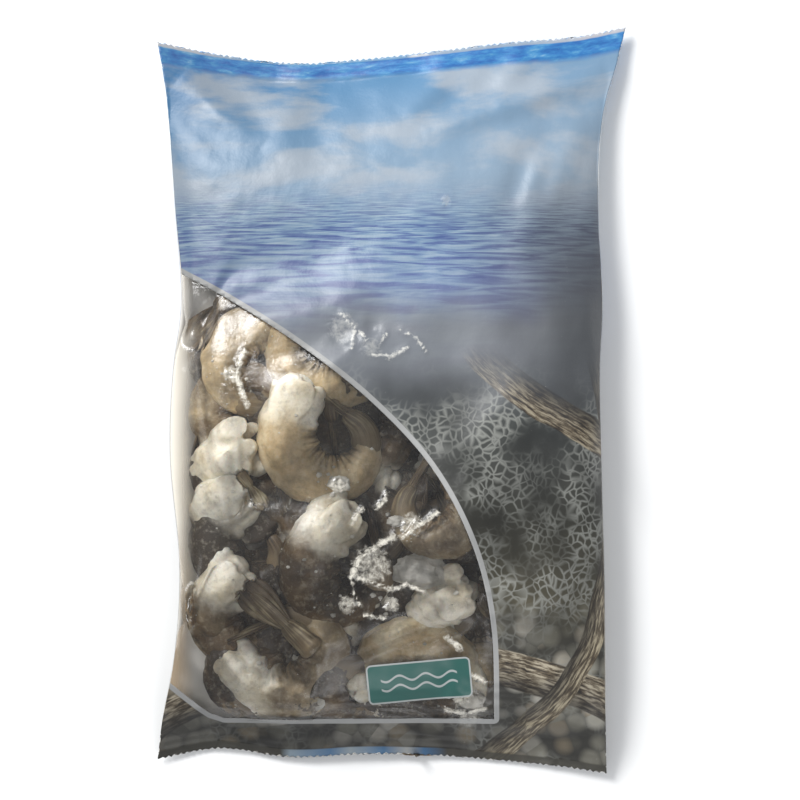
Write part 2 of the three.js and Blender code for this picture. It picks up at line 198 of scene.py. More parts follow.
# Folds and dents of the film: [name, size, strength].
SOFT_FOLDS = (("soft_folds", 27, 1.5), ("dents", 9, 0.4))
CRUMPLE_FOLDS = (("crumples", 5, 1.4),)
END_COLUMNS = 72  # places across at which the wavy ends are measured
# Ice: [subdivisions, roughness, size of the bumps].
CRUMB_SHAPE = (2, 1.1, 0.9)
LUMP_SHAPE = (4, 0.75, 0.5)
BADGE_CLEARANCE = 0.3
BADGE_THICKNESS = 0.06
WAVE_RATE = 520.0  # of the badge's waves, in radians for each metre
WAVE_HEIGHT = 1.3
WAVE_SPREAD = 2.2  # of each wave line from the middle
RAIL = 62 * MM  # where the front starts to turn down towards its side folds
FOLD_PLACE = 118 * MM  # how far round the film the side folds lie
SPARE_FILM = 0.009  # share by which the film over the window is too large
DRAPE_FRAMES = 18  # frames of the simulation that lets it sink
# The teeth that the sealing jaws' knife leaves along the two ends.
TOOTH_PITCH = 2.9 * MM
TOOTH_DEPTH = 0.8 * MM
# Driftwood on the printed shore: [centre, radius, half its thickness, dark colour, pale colour].
LOGS = [
    ((150, 120), 150, 7.5, "#2e2822", "#b9ad94"),
    ((10, -330), 215, 9.0, "#2a241e", "#c4b9a2"),
    ((-60, -40), 172, 6.0, "#4a4033", "#c9bc9f"),
]
INK_SHARES_AND_LEFT_SHADE = (0.46, 0.72)  # share of the light that the inks give back, at the left and elsewhere; the lower share at the left is painted shade
HORIZON = 96.0  # of the printed sea, in millimetres up the pack
SEAL_BAND = 11.0  # height of the plain blue band along the top seal
SEAL_STRIP = 4.4  # height of the matt strip along the bottom seal
CRUMB_COUNT = 180  # crumbs of frost
# Lumps of ice right under the window: [X, Y, radii].
ICE_LUMPS = [
    (13, -78, (12, 8, 4.0)),
    (-24, -38, (5, 3.5, 2.5)),
    (36, -138, (7, 4, 2.5)),
    (2, -55, (4, 2.5, 1.6)),
]
BADGE_CORNER = 2.4
BADGE_STEP = 1.5  # between two cuts, so that the badge can follow the film
# The view, with the camera's height and the floor's size in metres.
SENSOR_WIDTH = 36
FLOOR_SIZE = 6
PIXELS_PER_MM = 2.15
VIEW_WIDTH = 800 / PIXELS_PER_MM * MM
VIEW_CENTRE = (3.95 * MM, 0.2 * MM)
EDGE_HEIGHT = 12 * MM  # at which the view is as wide as VIEW_WIDTH
CAMERA_HEIGHT = 1.4
# Soft boxes: [name, place and size in metres, watts].
LIGHTS = [("key", (-0.8, 0.85, 1.1), (0.6, 0.6), 27), ("fill", (0.5, -1.2, 1.1), (1.0, 0.4), 4)]


def linear(hex_colour):
    """An sRGB hex colour as the linear RGBA that Blender works in."""
    parts = [int(hex_colour[i : i + 2], 16) / 255 for i in (1, 3, 5)]
    return [p / 12.92 if p <= 0.04045 else ((p + 0.055) / 1.055) ** 2.4 for p in parts] + [1.0]


def smooth(low, high, value):
    """0 below low and 1 above high, with a smooth rise between."""
    share = np.clip((np.asarray(value, float) - low) / (high - low), 0, 1)
    return share * share * (3 - 2 * share)


# ---- Settings that a user would change ----


def length_setting(name, description, default, **limits):
    """A length that the panel shows."""
    return bpy.props.FloatProperty(
        name=name, description=description, default=default, precision=5, unit="LENGTH", **limits
    )


def colour_setting(name, description, default):
    """A colour that the panel shows."""
    return bpy.props.FloatVectorProperty(
        name=name, description=description, default=linear(default), size=4, min=0, max=1,
        subtype="COLOR",
    )


class ShrimpPackSizes(bpy.types.PropertyGroup):
    film_gauge: length_setting(
        "Film gauge", "Thickness of the film, drawn a little heavier than the real 0.09 mm",
        0.16 * MM, min=0.05 * MM, max=0.5 * MM,
    )
    window_line: length_setting(
        "Window line", "Width of the pale line printed round the clear window", 2.4 * MM,
        min=0.5 * MM, max=6 * MM,
    )
    label_width: length_setting(
        "Label width", "Width of the plain badge printed on the window", 48 * MM
    )
    label_height: length_setting(
        "Label height", "Height of the plain badge printed on the window", 19 * MM
    )
    film_gap: length_setting(
        "Gap under the film", "Space between the film and the shrimp that press on it", 0.5 * MM
    )


class ShrimpPackColours(bpy.types.PropertyGroup):
    wood: colour_setting("Driftwood", "Main colour of the printed driftwood", "#6a5d4a")
    badge: colour_setting("Badge", "Colour of the plain badge on the window", "#295a53")
    flesh: colour_setting("Flesh", "Main colour of the raw shrimp flesh", "#9a8a6e")
    shell: colour_setting("Tail shell", "Main colour of the shell left on the tails", "#6e6048")


class ShrimpPackSettings(bpy.types.PropertyGroup):
    sizes: bpy.props.PointerProperty(type=ShrimpPackSizes, name="Sizes")
    colours: bpy.props.PointerProperty(type=ShrimpPackColours, name="Colours")


def settings():
    return bpy.context.scene.shrimp_pack


# ---- Small modelling tools ----


def only(*objects):
    """Selects these objects alone and makes the first one active."""
    bpy.ops.object.select_all(action="DESELECT")
    for found in objects:
        found.select_set(True)
    bpy.context.view_layer.objects.active = objects[0]


def finish(piece, kind, **values):
    """Adds a modifier with its settings and applies it."""
    modifier = piece.modifiers.new(kind.title(), kind)
    for name, value in values.items():
        setattr(modifier, name, value)
    only(piece)
    bpy.ops.object.modifier_apply(modifier=modifier.name)


def roughen(piece, name, size, strength, **values):
    """Displaces a piece by soft noise, whose bumps are this size and this strong in millimetres."""
    texture = bpy.data.textures.new(name, "CLOUDS")
    texture.noise_scale = size * MM
    finish(piece, "DISPLACE", texture=texture, strength=strength * MM, mid_level=0.5, **values)


def weigh(piece, name, weights, least=-1.0):
    """Adds a vertex group with the weights that are over the least, and gives back its name."""
    group = piece.vertex_groups.new(name=name)
    for i in np.flatnonzero(weights > least):
        group.add([int(i)], float(weights[i]), "REPLACE")
    return group.name


def points_of(piece):
    """A piece's vertices as rows of X, Y and Z."""
    found = np.empty(len(piece.data.vertices) * 3)
    piece.data.vertices.foreach_get("co", found)
    return found.reshape(-1, 3)


def move_points(piece, points):
    piece.data.vertices.foreach_set("co", np.asarray(points, float).ravel())
    piece.data.update()


def set_attribute(piece, name, values):
    """A number at each vertex, which the materials read by name."""
    attribute = piece.data.attributes.get(name) or piece.data.attributes.new(name, "FLOAT", "POINT")
    attribute.data.foreach_set("value", np.asarray(values, np.float32))


def set_uv(piece, name, across, along):
    """A UV map from two numbers at each vertex."""
    layer = piece.data.uv_layers.get(name) or piece.data.uv_layers.new(name=name)
    corners = np.empty(len(piece.data.loops), int)
    piece.data.loops.foreach_get("vertex_index", corners)
    layer.uv.foreach_set("vector", np.stack([across[corners], along[corners]], 1).ravel())


def copy_of(piece, name):
    """A copy with its own mesh, without any modifiers or parent."""
    made = bpy.data.objects.new(name, piece.data.copy())
    bpy.context.scene.collection.objects.link(made)
    return made


def join(pieces, name):
    only(*pieces)
    bpy.ops.object.join()
    joined = bpy.context.object
    joined.name = name
    return joined


def remove(*pieces):
    for piece in pieces:
        bpy.data.objects.remove(piece)


def smooth_shaded(piece, angle=70):
    only(piece)
    bpy.ops.object.shade_smooth_by_angle(angle=math.radians(angle))


def tree_of(piece):
    """A search tree over a piece's faces, for casting rays at it."""
    points = [v.co for v in piece.data.vertices]
    return BVHTree.FromPolygons(points, [p.vertices[:] for p in piece.data.polygons])


# ---- Small material tools ----

COLOURS = {"out": "Result", "data_type": "RGBA"}  # settings of a node that mixes two colours
EASED = {"interpolation_type": "SMOOTHSTEP"}  # settings of a map range that starts and ends softly


def numbers(value):
    """A hex colour as linear RGBA, and any other value as it is."""
    return linear(value) if isinstance(value, str) else value


def add(tree, kind, links=(), out=0, ramp=(), **values):
    """Adds a node with its settings, ramp stops and inputs, and gives back one output socket."""
    made = tree.nodes.new("ShaderNode" + kind)
    for name, value in values.items():
        setattr(made, name, value)
    if ramp:
        stops = made.color_ramp.elements
        stops.remove(stops[1])
    for place, colour in ramp:
        stop = stops[0] if place == ramp[0][0] else stops.new(place)
        stop.position = place
        stop.color = numbers(colour)
    for socket, source in dict(links).items():
        if isinstance(source, bpy.types.NodeSocket):
            tree.links.new(source, made.inputs[socket])
        else:
            made.inputs[socket].default_value = numbers(source)
    return made.outputs[out]


def new_material(name):
    """An empty node material and its output node."""
    material = bpy.data.materials.new(name)
    material.use_nodes = True
    material.node_tree.nodes.clear()
    output = material.node_tree.nodes.new("ShaderNodeOutputMaterial")
    return material, material.node_tree, output


# ---- The shrimp ----


def profile(stations, place):
    """Depth and width at a place along a shrimp."""
    places, depths, widths = zip(*stations)
    return np.interp(place, places, depths), np.interp(place, places, widths)


def groove(place):
    """How much the segments pinch the flesh at a place along it, from 0 to 1."""
    return max(math.exp(-(((place - g) / 1.5) ** 2)) for g in SEGMENT_GROOVES)


def put_in_order(piece):
    """Sorts the faces of a piece. Extruding leaves them in another order each time, and what
    subdivides, thins out or drapes a mesh follows that order."""
    points = points_of(piece)
    faces = [list(face.vertices) for face in piece.data.polygons]
    starts = [face.index(min(face)) for face in faces]
    turned = sorted(face[start:] + face[:start] for face, start in zip(faces, starts))
    piece.data.clear_geometry()
    piece.data.from_pydata(points, [], turned)


def grow_tube(stations, step, sides, pinch):
    """A closed tube along X, grown ring by ring from a disc: extrude, slide, resize."""
    first, last = stations[0][0], stations[-1][0]
    count = round((last - first) / step)
    depth, width = profile(stations, first)
    bpy.ops.object.select_all(action="DESELECT")
    bpy.ops.mesh.primitive_circle_add(
        vertices=sides, radius=0.5 * MM, fill_type="NGON", location=(first * MM, 0, 0),
        rotation=(0, math.pi / 2, 0),
    )
    tube = bpy.context.object
    tube.scale = (depth, width, 1)
    bpy.ops.object.transform_apply(location=True, rotation=True, scale=True)
    bpy.ops.object.mode_set(mode="EDIT")
    bpy.ops.mesh.select_all(action="SELECT")
    for i in range(1, count + 1):
        place = first + (last - first) * i / count
        new_depth, new_width = profile(stations, place)
        shrink = 1 - pinch * groove(place)
        new_depth, new_width = new_depth * shrink, new_width * shrink
        bpy.ops.mesh.extrude_region_move(
            TRANSFORM_OT_translate={"value": ((last - first) / count * MM, 0, 0)}
        )
        bpy.ops.transform.resize(
            value=(1, new_width / width, new_depth / depth), center_override=(place * MM, 0, 0)
        )
        depth, width = new_depth, new_width
    bpy.ops.mesh.select_all(action="SELECT")
    bpy.ops.mesh.normals_make_consistent(inside=False)
    bpy.ops.object.mode_set(mode="OBJECT")
    put_in_order(tube)
    return tube


def add_lump(place, radii):
    """One rounded lump of muscle."""
    bpy.ops.object.select_all(action="DESELECT")
    bpy.ops.mesh.primitive_ico_sphere_add(
        subdivisions=3, radius=MM, location=[p * MM for p in place]
    )
    lump = bpy.context.object
    lump.scale = radii
    bpy.ops.object.transform_apply(location=True, rotation=True, scale=True)
    return lump


def head_lumps(random):
    """The muscles' swollen ends where the head was pulled off, a little different each time."""
    made = []
    for place, radii in HEAD_MUSCLES:
        size = random.uniform(0.78, 1.2)
        place = [p + random.uniform(-1.4, 1.4) for p in place]
        made.append(add_lump(place, [r * size * random.uniform(0.88, 1.12) for r in radii]))
    return made


def belly_lumps():
    """A pair of low pads under each segment, where its legs were."""
    made = []
    for i, start in enumerate((0,) + SEGMENT_GROOVES[:-1]):
        middle = (start + SEGMENT_GROOVES[i]) / 2
        depth, width = profile(BODY_STATIONS, middle)
        for side in (-1, 1):
            place = (middle, side * width * 0.24, -depth * 0.37)
            made.append(add_lump(place, (5.4, width * 0.2, depth * 0.15)))
    return made


def below_share(x, z):
    """How far down the straight shrimp's side a point lies: 0 at the middle, 1 at the belly."""
    return np.clip(-z / (profile(BODY_STATIONS, x)[0] / 2), 0, 1)


def shape_flesh(piece):
    """Flattens and ribs the belly, keels the back and opens a shallow slit along it."""
    points = points_of(piece) / MM
    x, y, z = points.T
    depth = profile(BODY_STATIONS, x)[0]
    below = below_share(x, z)
    ribs = np.cos(math.tau * (x + 1.5 * np.sin(z * 0.4)) / BELLY_RIB) * smooth(0.1, 0.6, below)
    ribs = ribs * smooth(8, 14, x) * (1 - smooth(60, 66, x))
    y = y * (1 + 0.055 * ribs)
    z = z + 0.16 * depth / 2 * below**2
    above = np.clip(z / (depth / 2), 0, 1)
    y = y * (1 - 0.22 * above**2)
    slit = np.exp(-((y / 1.1) ** 2)) * smooth(6, 14, x) * (1 - smooth(40, 52, x))
    z = z - 1.5 * slit * (above > 0.5)
    move_points(piece, np.stack([x, y, z], 1) * MM)


def straight_flesh(variant):
    """The peeled body of one shrimp, laid out straight with its back up."""
    random = Random(variant)
    tube = grow_tube(BODY_STATIONS, BODY_STEP, BODY_SIDES, GROOVE_DEPTH)
    flesh = join([tube] + head_lumps(random) + belly_lumps(), "flesh")
    finish(flesh, "REMESH", mode="VOXEL", voxel_size=FLESH_VOXEL * MM)
    finish(flesh, "SMOOTH", factor=0.5, iterations=4)
    shape_flesh(flesh)
    offset = np.array([random.uniform(-1, 1) for _ in range(3)])
    move_points(flesh, points_of(flesh) + offset)
    for size, strength in MUSCLE_BUMPS:
        roughen(flesh, "muscle", size, strength)
    move_points(flesh, points_of(flesh) - offset)
    finish(flesh, "SMOOTH", factor=0.4, iterations=1)
    return flesh


def leaf_width(share):
    """A blade's width along it: narrow at the root, widest past the middle and round at the tip."""
    if share < 0.62:
        return 0.4 + 0.6 * math.sin(math.pi / 2 * share / 0.62)
    return math.sqrt(max(1 - ((share - 0.62) / 0.385) ** 2, 0))


def fan_blade(length, width, splay, lift):
    """One ribbed blade of the tail fan, with a keel down its middle."""
    bpy.ops.object.select_all(action="DESELECT")
    bpy.ops.mesh.primitive_grid_add(x_subdivisions=12, y_subdivisions=6, size=1)
    blade = bpy.context.object
    points = points_of(blade)
    share, side = points[:, 0] + 0.5, points[:, 1] * 2
    wide = np.array([leaf_width(s) for s in share]) * width / 2
    ribs = 0.9 * (1 - np.abs(side)) + 0.3 * np.cos(3 * math.pi * side) * smooth(0, 0.2, share)
    arch = lift - 1.4 * share**2
    shaped = np.stack([share * length, side * wide, arch + ribs], 1)
    turned = np.array(
        Matrix.Rotation(math.radians(splay), 3, "Z")
        @ Matrix.Rotation(math.radians(splay * 0.8), 3, "X")
    )
    move_points(blade, (shaped @ turned.T + (FAN_ROOT, 0, 0)) * MM)
    finish(blade, "SOLIDIFY", thickness=0.9 * MM, offset=0)
    return blade


def straight_tail():
    """The shell left on the last segment, and the tail fan."""
    shell = grow_tube(SHELL_STATIONS, 2.0, 20, 0)
    blades = [
        fan_blade(FAN_LENGTH * share, width, splay, lift)
        for share, width, splay, lift in FAN_BLADES
    ]
    tail = join([shell] + blades, "tail")
    finish(tail, "SUBSURF", levels=1, render_levels=1)
    return tail


def map_along(piece):
    """The numbers that the patterns follow: millimetres along the shrimp, and how far down its
    side. The UV map runs along it and round it."""
    x, y, z = points_of(piece).T / MM
    set_uv(piece, "shrimp", x, np.arctan2(y, z) / math.tau)
    set_attribute(piece, "along", x)
    set_attribute(piece, "belly", below_share(x, z))


def curled(points, curl, reflex=-14):
    """Bends a straight shrimp round its belly, tighter towards the tail, onto its side."""
    start, end, tip = -12, FAN_ROOT, 130
    places = np.arange(start, tip, 1.0)
    bend = np.where((places > 2) & (places < end), 0.65 + 0.7 * places / end, 0.0)
    bend = bend / bend.sum() * math.radians(curl)
    bend = bend + np.where(places >= end, math.radians(reflex) / FAN_LENGTH, 0.0)
    turn = np.cumsum(bend)
    centre_x = np.cumsum(np.cos(turn))
    centre_y = np.cumsum(np.sin(turn))
    x, y, z = points.T
    angle = np.interp(x, places, turn)
    line_x = np.interp(x, places, centre_x)
    line_y = np.interp(x, places, centre_y)
    made = np.stack([line_x + z * np.sin(angle), line_y - z * np.cos(angle), y], 1)
    body = (places > 0) & (places < end)
    middle = np.array((centre_x[body].mean(), centre_y[body].mean(), 0))
    head, tail = (np.array((centre_x[i - start], centre_y[i - start], 0)) for i in (0, end))
    gap = (head + tail) / 2 - middle
    turned = np.array(Matrix.Rotation(-math.atan2(gap[1], gap[0]), 3, "Z"))
    return (made - middle) @ turned.T


def place_shrimp(bases, spot, number):
    """Curled copies of the straight pieces at one spot, not yet at their height."""
    x, y, facing, size, curl, flipped, tilt, roll, _, tone, white = spot
    turn = Euler((math.radians(tilt), math.radians(roll), 0)).to_matrix()
    if flipped:
        turn = turn @ Matrix.Rotation(math.pi, 3, "X")
    turn = Matrix.Rotation(math.radians(facing), 3, "Z") @ turn
    made = []
    for base in bases:
        piece = copy_of(base, f"{base.name}_{number}")
        points = curled(points_of(piece) / MM, curl) * size
        points = points @ np.array(turn).T + (x, y, 0)
        move_points(piece, points * MM)
        set_attribute(piece, "tone", np.full(len(points), tone))
        set_attribute(piece, "white", np.full(len(points), white))
        made.append(piece)
    return made


def cast_heights(tree, points, direction):
    """Where rays straight up or down from outside meet a surface at these places."""
    start = -1.0 if direction > 0 else 1.0
    heights = np.full(len(points), np.nan)
    for i, (x, y, _) in enumerate(points):
        hit = tree.ray_cast(Vector((x, y, start)), Vector((0, 0, direction)))[0]
        if hit is not None:
            heights[i] = hit.z
    return heights


def fit_inside(pieces, tree, gap, high):
    """Moves a shrimp up against the film, or down on the back, and away from the sides of the
    pack until it fits between them."""
    sample = np.concatenate([points_of(piece)[::FIT_SAMPLE] for piece in pieces])
    shift = np.zeros(3)
    for _ in range(FIT_TRIES):
        points = sample + shift
        above = cast_heights(tree, points, -1.0) - gap - points[:, 2]
        below = cast_heights(tree, points, 1.0) + gap - points[:, 2]
        outside = np.isnan(above) | np.isnan(below) | (np.abs(points[:, 0]) > SIDE_LIMIT * MM)
        if outside.any():
            away = points[outside, :2].mean(0)
            longest = np.abs(away).max()
            shift[:2] -= FIT_STEP * MM * away / longest * (np.abs(away) > 0.55 * longest)
            continue
        ceiling, floor = np.quantile(above, PRESSED_SHARE), np.quantile(below, 1 - PRESSED_SHARE)
        shift[2] += ceiling if high else floor
        if high or ceiling > floor:
            break
        shift[0] -= 1.5 * MM * np.sign(points[:, 0].mean())
    for piece in pieces:
        points = points_of(piece) + shift
        top, bottom = cast_heights(tree, points, -1.0) - gap, cast_heights(tree, points, 1.0) + gap
        points[:, 2] = np.fmax(np.fmin(points[:, 2], top), bottom)
        move_points(piece, points)


def press_under(piece, surface, gap):
    """Pushes every point of a piece down to this far below a surface."""
    points = points_of(piece)
    points[:, 2] = np.fmin(points[:, 2], cast_heights(surface, points, -1.0) - gap)
    move_points(piece, points)


def dent_under(piece, surface, gap):
    """Pushes the points of a piece that lie under or in another down to below its underside."""
    points = points_of(piece)
    points[:, 2] = np.fmin(points[:, 2], cast_heights(surface, points, 1.0) - gap)
    move_points(piece, points)


def window_tail(base, spot, number, film, gap):
    """A tail folded shut against the film, with its middle at the spot."""
    x, y, direction, size, tone = spot
    tail = copy_of(base, f"window_tail_{number}")
    points = points_of(tail) / MM
    points[:, 0] = np.maximum(points[:, 0], TAIL_CUT + 0.3 * (points[:, 0] - TAIL_CUT))
    points[:, 1] *= SHUT_FAN
    points = (points - (FAN_ROOT + 0.3 * FAN_LENGTH, 0, 0)) * size
    turn = np.array(Matrix.Rotation(math.radians(direction), 3, "Z"))
    points = (points @ turn.T + (x, y, 0)) * MM
    ceiling = cast_heights(film, points, -1.0) - gap
    points[:, 2] += np.nanmin(ceiling) - points[:, 2].max()
    lift = np.fmax(ceiling - np.nanmin(ceiling), 0)
    points[:, 2] += np.nan_to_num(lift)
    move_points(tail, points)
    set_attribute(tail, "tone", np.full(len(points), tone))
    set_attribute(tail, "white", np.zeros(len(points)))
    return tail


def lower_spots():
    """Places for the shrimp of the lower layer, on a jittered grid under the window, with dark
    tones that are painted shade on the deep layer.
    """
    random = Random(11)
    found = []
    for row in range(LOWER_ROWS):
        for column in range(LOWER_COLUMNS):
            x = LOWER_START[0] + LOWER_PITCH * column + (row % 2) * LOWER_SHIFT
            x += random.uniform(-LOWER_JITTER, LOWER_JITTER)
            y = LOWER_START[1] + LOWER_PITCH * row + random.uniform(-LOWER_JITTER, LOWER_JITTER)
            inside = x < 60 and y < 62 - 0.55 * (x + 97)
            if inside:
                found.append(
                    # Their tones run dark, from -0.4 to 0.1: painted shade on the deep layer
                    # between and under the shrimp on top.
                    (
                        x, y, random.uniform(0, 360), random.uniform(0.78, 0.95),
                        random.uniform(210, 280), random.random() < 0.5,
                        random.uniform(-LOWER_TILT, LOWER_TILT),
                        random.uniform(-LOWER_TILT, LOWER_TILT), 0.0, random.uniform(-0.4, 0.1),
                        random.uniform(-14, 6),
                    )
                )
    return found


class SHRIMPPACK_OT_shrimp(bpy.types.Operator):
    """Model one peeled shrimp with its tail on, and lay curled copies of it in the pack"""

    bl_idname = "shrimppack.shrimp"
    bl_label = "Shrimp"

    def execute(self, context):
        bodies, tail = [straight_flesh(i) for i in range(BODY_VARIANTS)], straight_tail()
        for piece in bodies:
            finish(piece, "DECIMATE", ratio=UPPER_SHARE)
        for piece in bodies + [tail]:
            map_along(piece)
        film = tree_of(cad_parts["shrimp_pack"])
        gap = settings().sizes.film_gap
        layers = {layer: [] for layer in LAYERS}
        for number, spot in enumerate(WINDOW_SHRIMP):
            pair = place_shrimp((bodies[number % BODY_VARIANTS], tail), spot, number)
            fit_inside(pair, film, gap + spot[8] * MM, high=True)
            layers["upper"].append(pair)
        loose = [window_tail(tail, spot, i, film, gap) for i, spot in enumerate(WINDOW_TAILS)]
        small_flesh, small_tail = copy_of(bodies[0], "small_flesh"), copy_of(tail, "small_tail")
        finish(small_flesh, "DECIMATE", ratio=LOWER_SHARE)
        finish(small_tail, "DECIMATE", ratio=LOWER_TAIL_SHARE)
        for number, spot in enumerate(lower_spots()):
            pair = place_shrimp((small_flesh, small_tail), spot, number + LOWER_NUMBER)
            fit_inside(pair, film, gap, high=False)
            layers["lower"].append(pair)
        for tail_piece in loose:
            under = tree_of(tail_piece)
            for piece in (piece for pair in layers["upper"] + layers["lower"] for piece in pair):
                dent_under(piece, under, TAIL_DENT * MM)
        flesh_look, shell_look = flesh_material(), shell_material()
        for layer, pairs in layers.items():
            joined = join([pair[0] for pair in pairs], f"{layer}_shrimp")
            extra = loose if layer == "upper" else []
            tails = join([pair[1] for pair in pairs] + extra, f"{layer}_tails")
            roughen(joined, f"{layer}_frost", *FROST_BUMPS, texture_coords="GLOBAL")
            for piece, look in ((joined, flesh_look), (tails, shell_look)):
                piece.data.materials.clear()
                piece.data.materials.append(look)
                smooth_shaded(piece, 60)
                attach(piece, "root")
                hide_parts("shrimp_pack")
        remove(*bodies, tail, small_flesh, small_tail)
        return {"FINISHED"}


def flesh_material():
    """Frozen raw shrimp flesh, peeled and glazed with ice: cloudy grey-brown flesh that lets light
    in, white where the muscles end, darker and ribbed towards the belly."""
    material, tree, output = new_material("frozen_shrimp_flesh")
    place = add(tree, "TexCoord", out="Object")
    tone = add(tree, "Attribute", attribute_name="tone", out="Fac")
    along = add(tree, "Attribute", attribute_name="along", out="Fac")
    belly = add(tree, "Attribute", attribute_name="belly", out="Fac")
    blotch = add(
        tree, "TexNoise",
        {
            "Vector": place, "Scale": 1 / (17 * MM), "Detail": 4.0, "Roughness": 0.6,
            "Distortion": 0.4,
        },
        out="Fac",
    )
    toned = add(tree, "Math", {0: blotch, 1: 1.5, 2: tone}, operation="MULTIPLY_ADD")
    toned = add(tree, "Math", {0: belly, 1: -0.35, 2: toned}, operation="MULTIPLY_ADD")
    body = add(
        tree, "ValToRGB",
        {"Fac": add(tree, "MapRange", {"Value": toned, "From Min": 0.62, "From Max": 1.95})},
        out="Color",
        ramp=[
            (0.0, "#352a1d"), (0.25, "#675338"), (0.5, settings().colours.flesh[:]),
            (0.75, "#c8b188"), (1.0, "#e4d7b8"),
        ],
    )
    ribs = add(
        tree, "Math",
        {0: add(tree, "Math", {0: along, 1: math.tau / BELLY_RIB}, operation="MULTIPLY")},
        operation="COSINE",
    )
    rib_line = add(tree, "MapRange", {"Value": ribs, "From Min": 0.1, "From Max": -0.9})
    low_side = add(
        tree, "MapRange", {"Value": belly, "From Min": 0.25, "From Max": 0.75, "To Max": 0.6}
    )
    lined = add(
        tree, "Mix",
        {
            "Factor": add(tree, "Math", {0: rib_line, 1: low_side}, operation="MULTIPLY"),
            "A": body,
            "B": "#4a3b29",
        },
        **COLOURS,
    )
    ragged = add(
        tree, "TexNoise", {"Vector": place, "Scale": 1 / (7 * MM), "Detail": 4.0}, out="Fac"
    )
    reach = add(tree, "Attribute", attribute_name="white", out="Fac")
    past = add(tree, "Math", {0: along, 1: reach}, operation="SUBTRACT")
    edge = add(tree, "Math", {0: ragged, 1: 10.0, 2: past}, operation="MULTIPLY_ADD")
    white_end = add(
        tree, "MapRange", {"Value": edge, "From Min": 12.0, "From Max": 2.0, "To Max": 0.9}, **EASED
    )
    mottle = add(
        tree, "TexNoise",
        {"Vector": place, "Scale": 1 / (3.2 * MM), "Detail": 5.0, "Roughness": 0.7}, out="Fac",
    )
    cloudy = add(
        tree, "ValToRGB", {"Fac": blotch},
        ramp=[(0.34, "#d2c6ab"), (0.5, "#ede6d3"), (0.66, "#f8f4e8")],
    )
    frosted = add(tree, "Mix", {"Factor": white_end, "A": lined, "B": cloudy}, **COLOURS)
    mottled = add(
        tree, "MapRange", {"Value": mottle, "From Min": 0.52, "From Max": 0.32, "To Max": 0.3}
    )
    frosted = add(tree, "Mix", {"Factor": mottled, "A": frosted, "B": "#54473a"}, **COLOURS)
    frost = add(
        tree, "MapRange", {"Value": mottle, "From Min": 0.52, "From Max": 0.72, "To Max": 0.4}
    )
    frosted = add(tree, "Mix", {"Factor": frost, "A": frosted, "B": "#d8cfba"}, **COLOURS)
    speck = add(
        tree, "TexVoronoi", {"Vector": place, "Scale": 1 / (1.5 * MM), "Randomness": 1.0},
        out="Distance",
    )
    speck_here = add(
        tree, "MapRange", {"Value": speck, "From Min": 0.15, "From Max": 0.03, "To Max": 0.4}
    )
    patch = add(
        tree, "TexNoise", {"Vector": place, "Scale": 1 / (9 * MM), "Detail": 1.0}, out="Fac"
    )
    scattered = add(tree, "MapRange", {"Value": patch, "From Min": 0.48, "From Max": 0.62})
    specked = add(
        tree, "Mix",
        {
            "Factor": add(tree, "Math", {0: speck_here, 1: scattered}, operation="MULTIPLY"),
            "A": frosted,
            "B": "#40362c",
        },
        **COLOURS,
    )
    grain = add(
        tree, "TexNoise",
        {"Vector": place, "Scale": 1 / (1.4 * MM), "Detail": 4.0, "Roughness": 0.6}, out="Fac",
    )
    bump = add(tree, "Bump", {"Strength": 0.5, "Distance": 0.6 * MM, "Height": grain}, out="Normal")
    shader = add(
        tree, "BsdfPrincipled",
        {
            "Base Color": specked, "Roughness": 0.42, "IOR": 1.38, "Subsurface Weight": 0.35,
            "Subsurface Radius": (1.0, 0.72, 0.5), "Subsurface Scale": 2.2 * MM,
            "Coat Weight": 0.35, "Coat Roughness": 0.2, "Coat IOR": 1.31, "Normal": bump,
        },
    )
    tree.links.new(shader, output.inputs["Surface"])
    return material


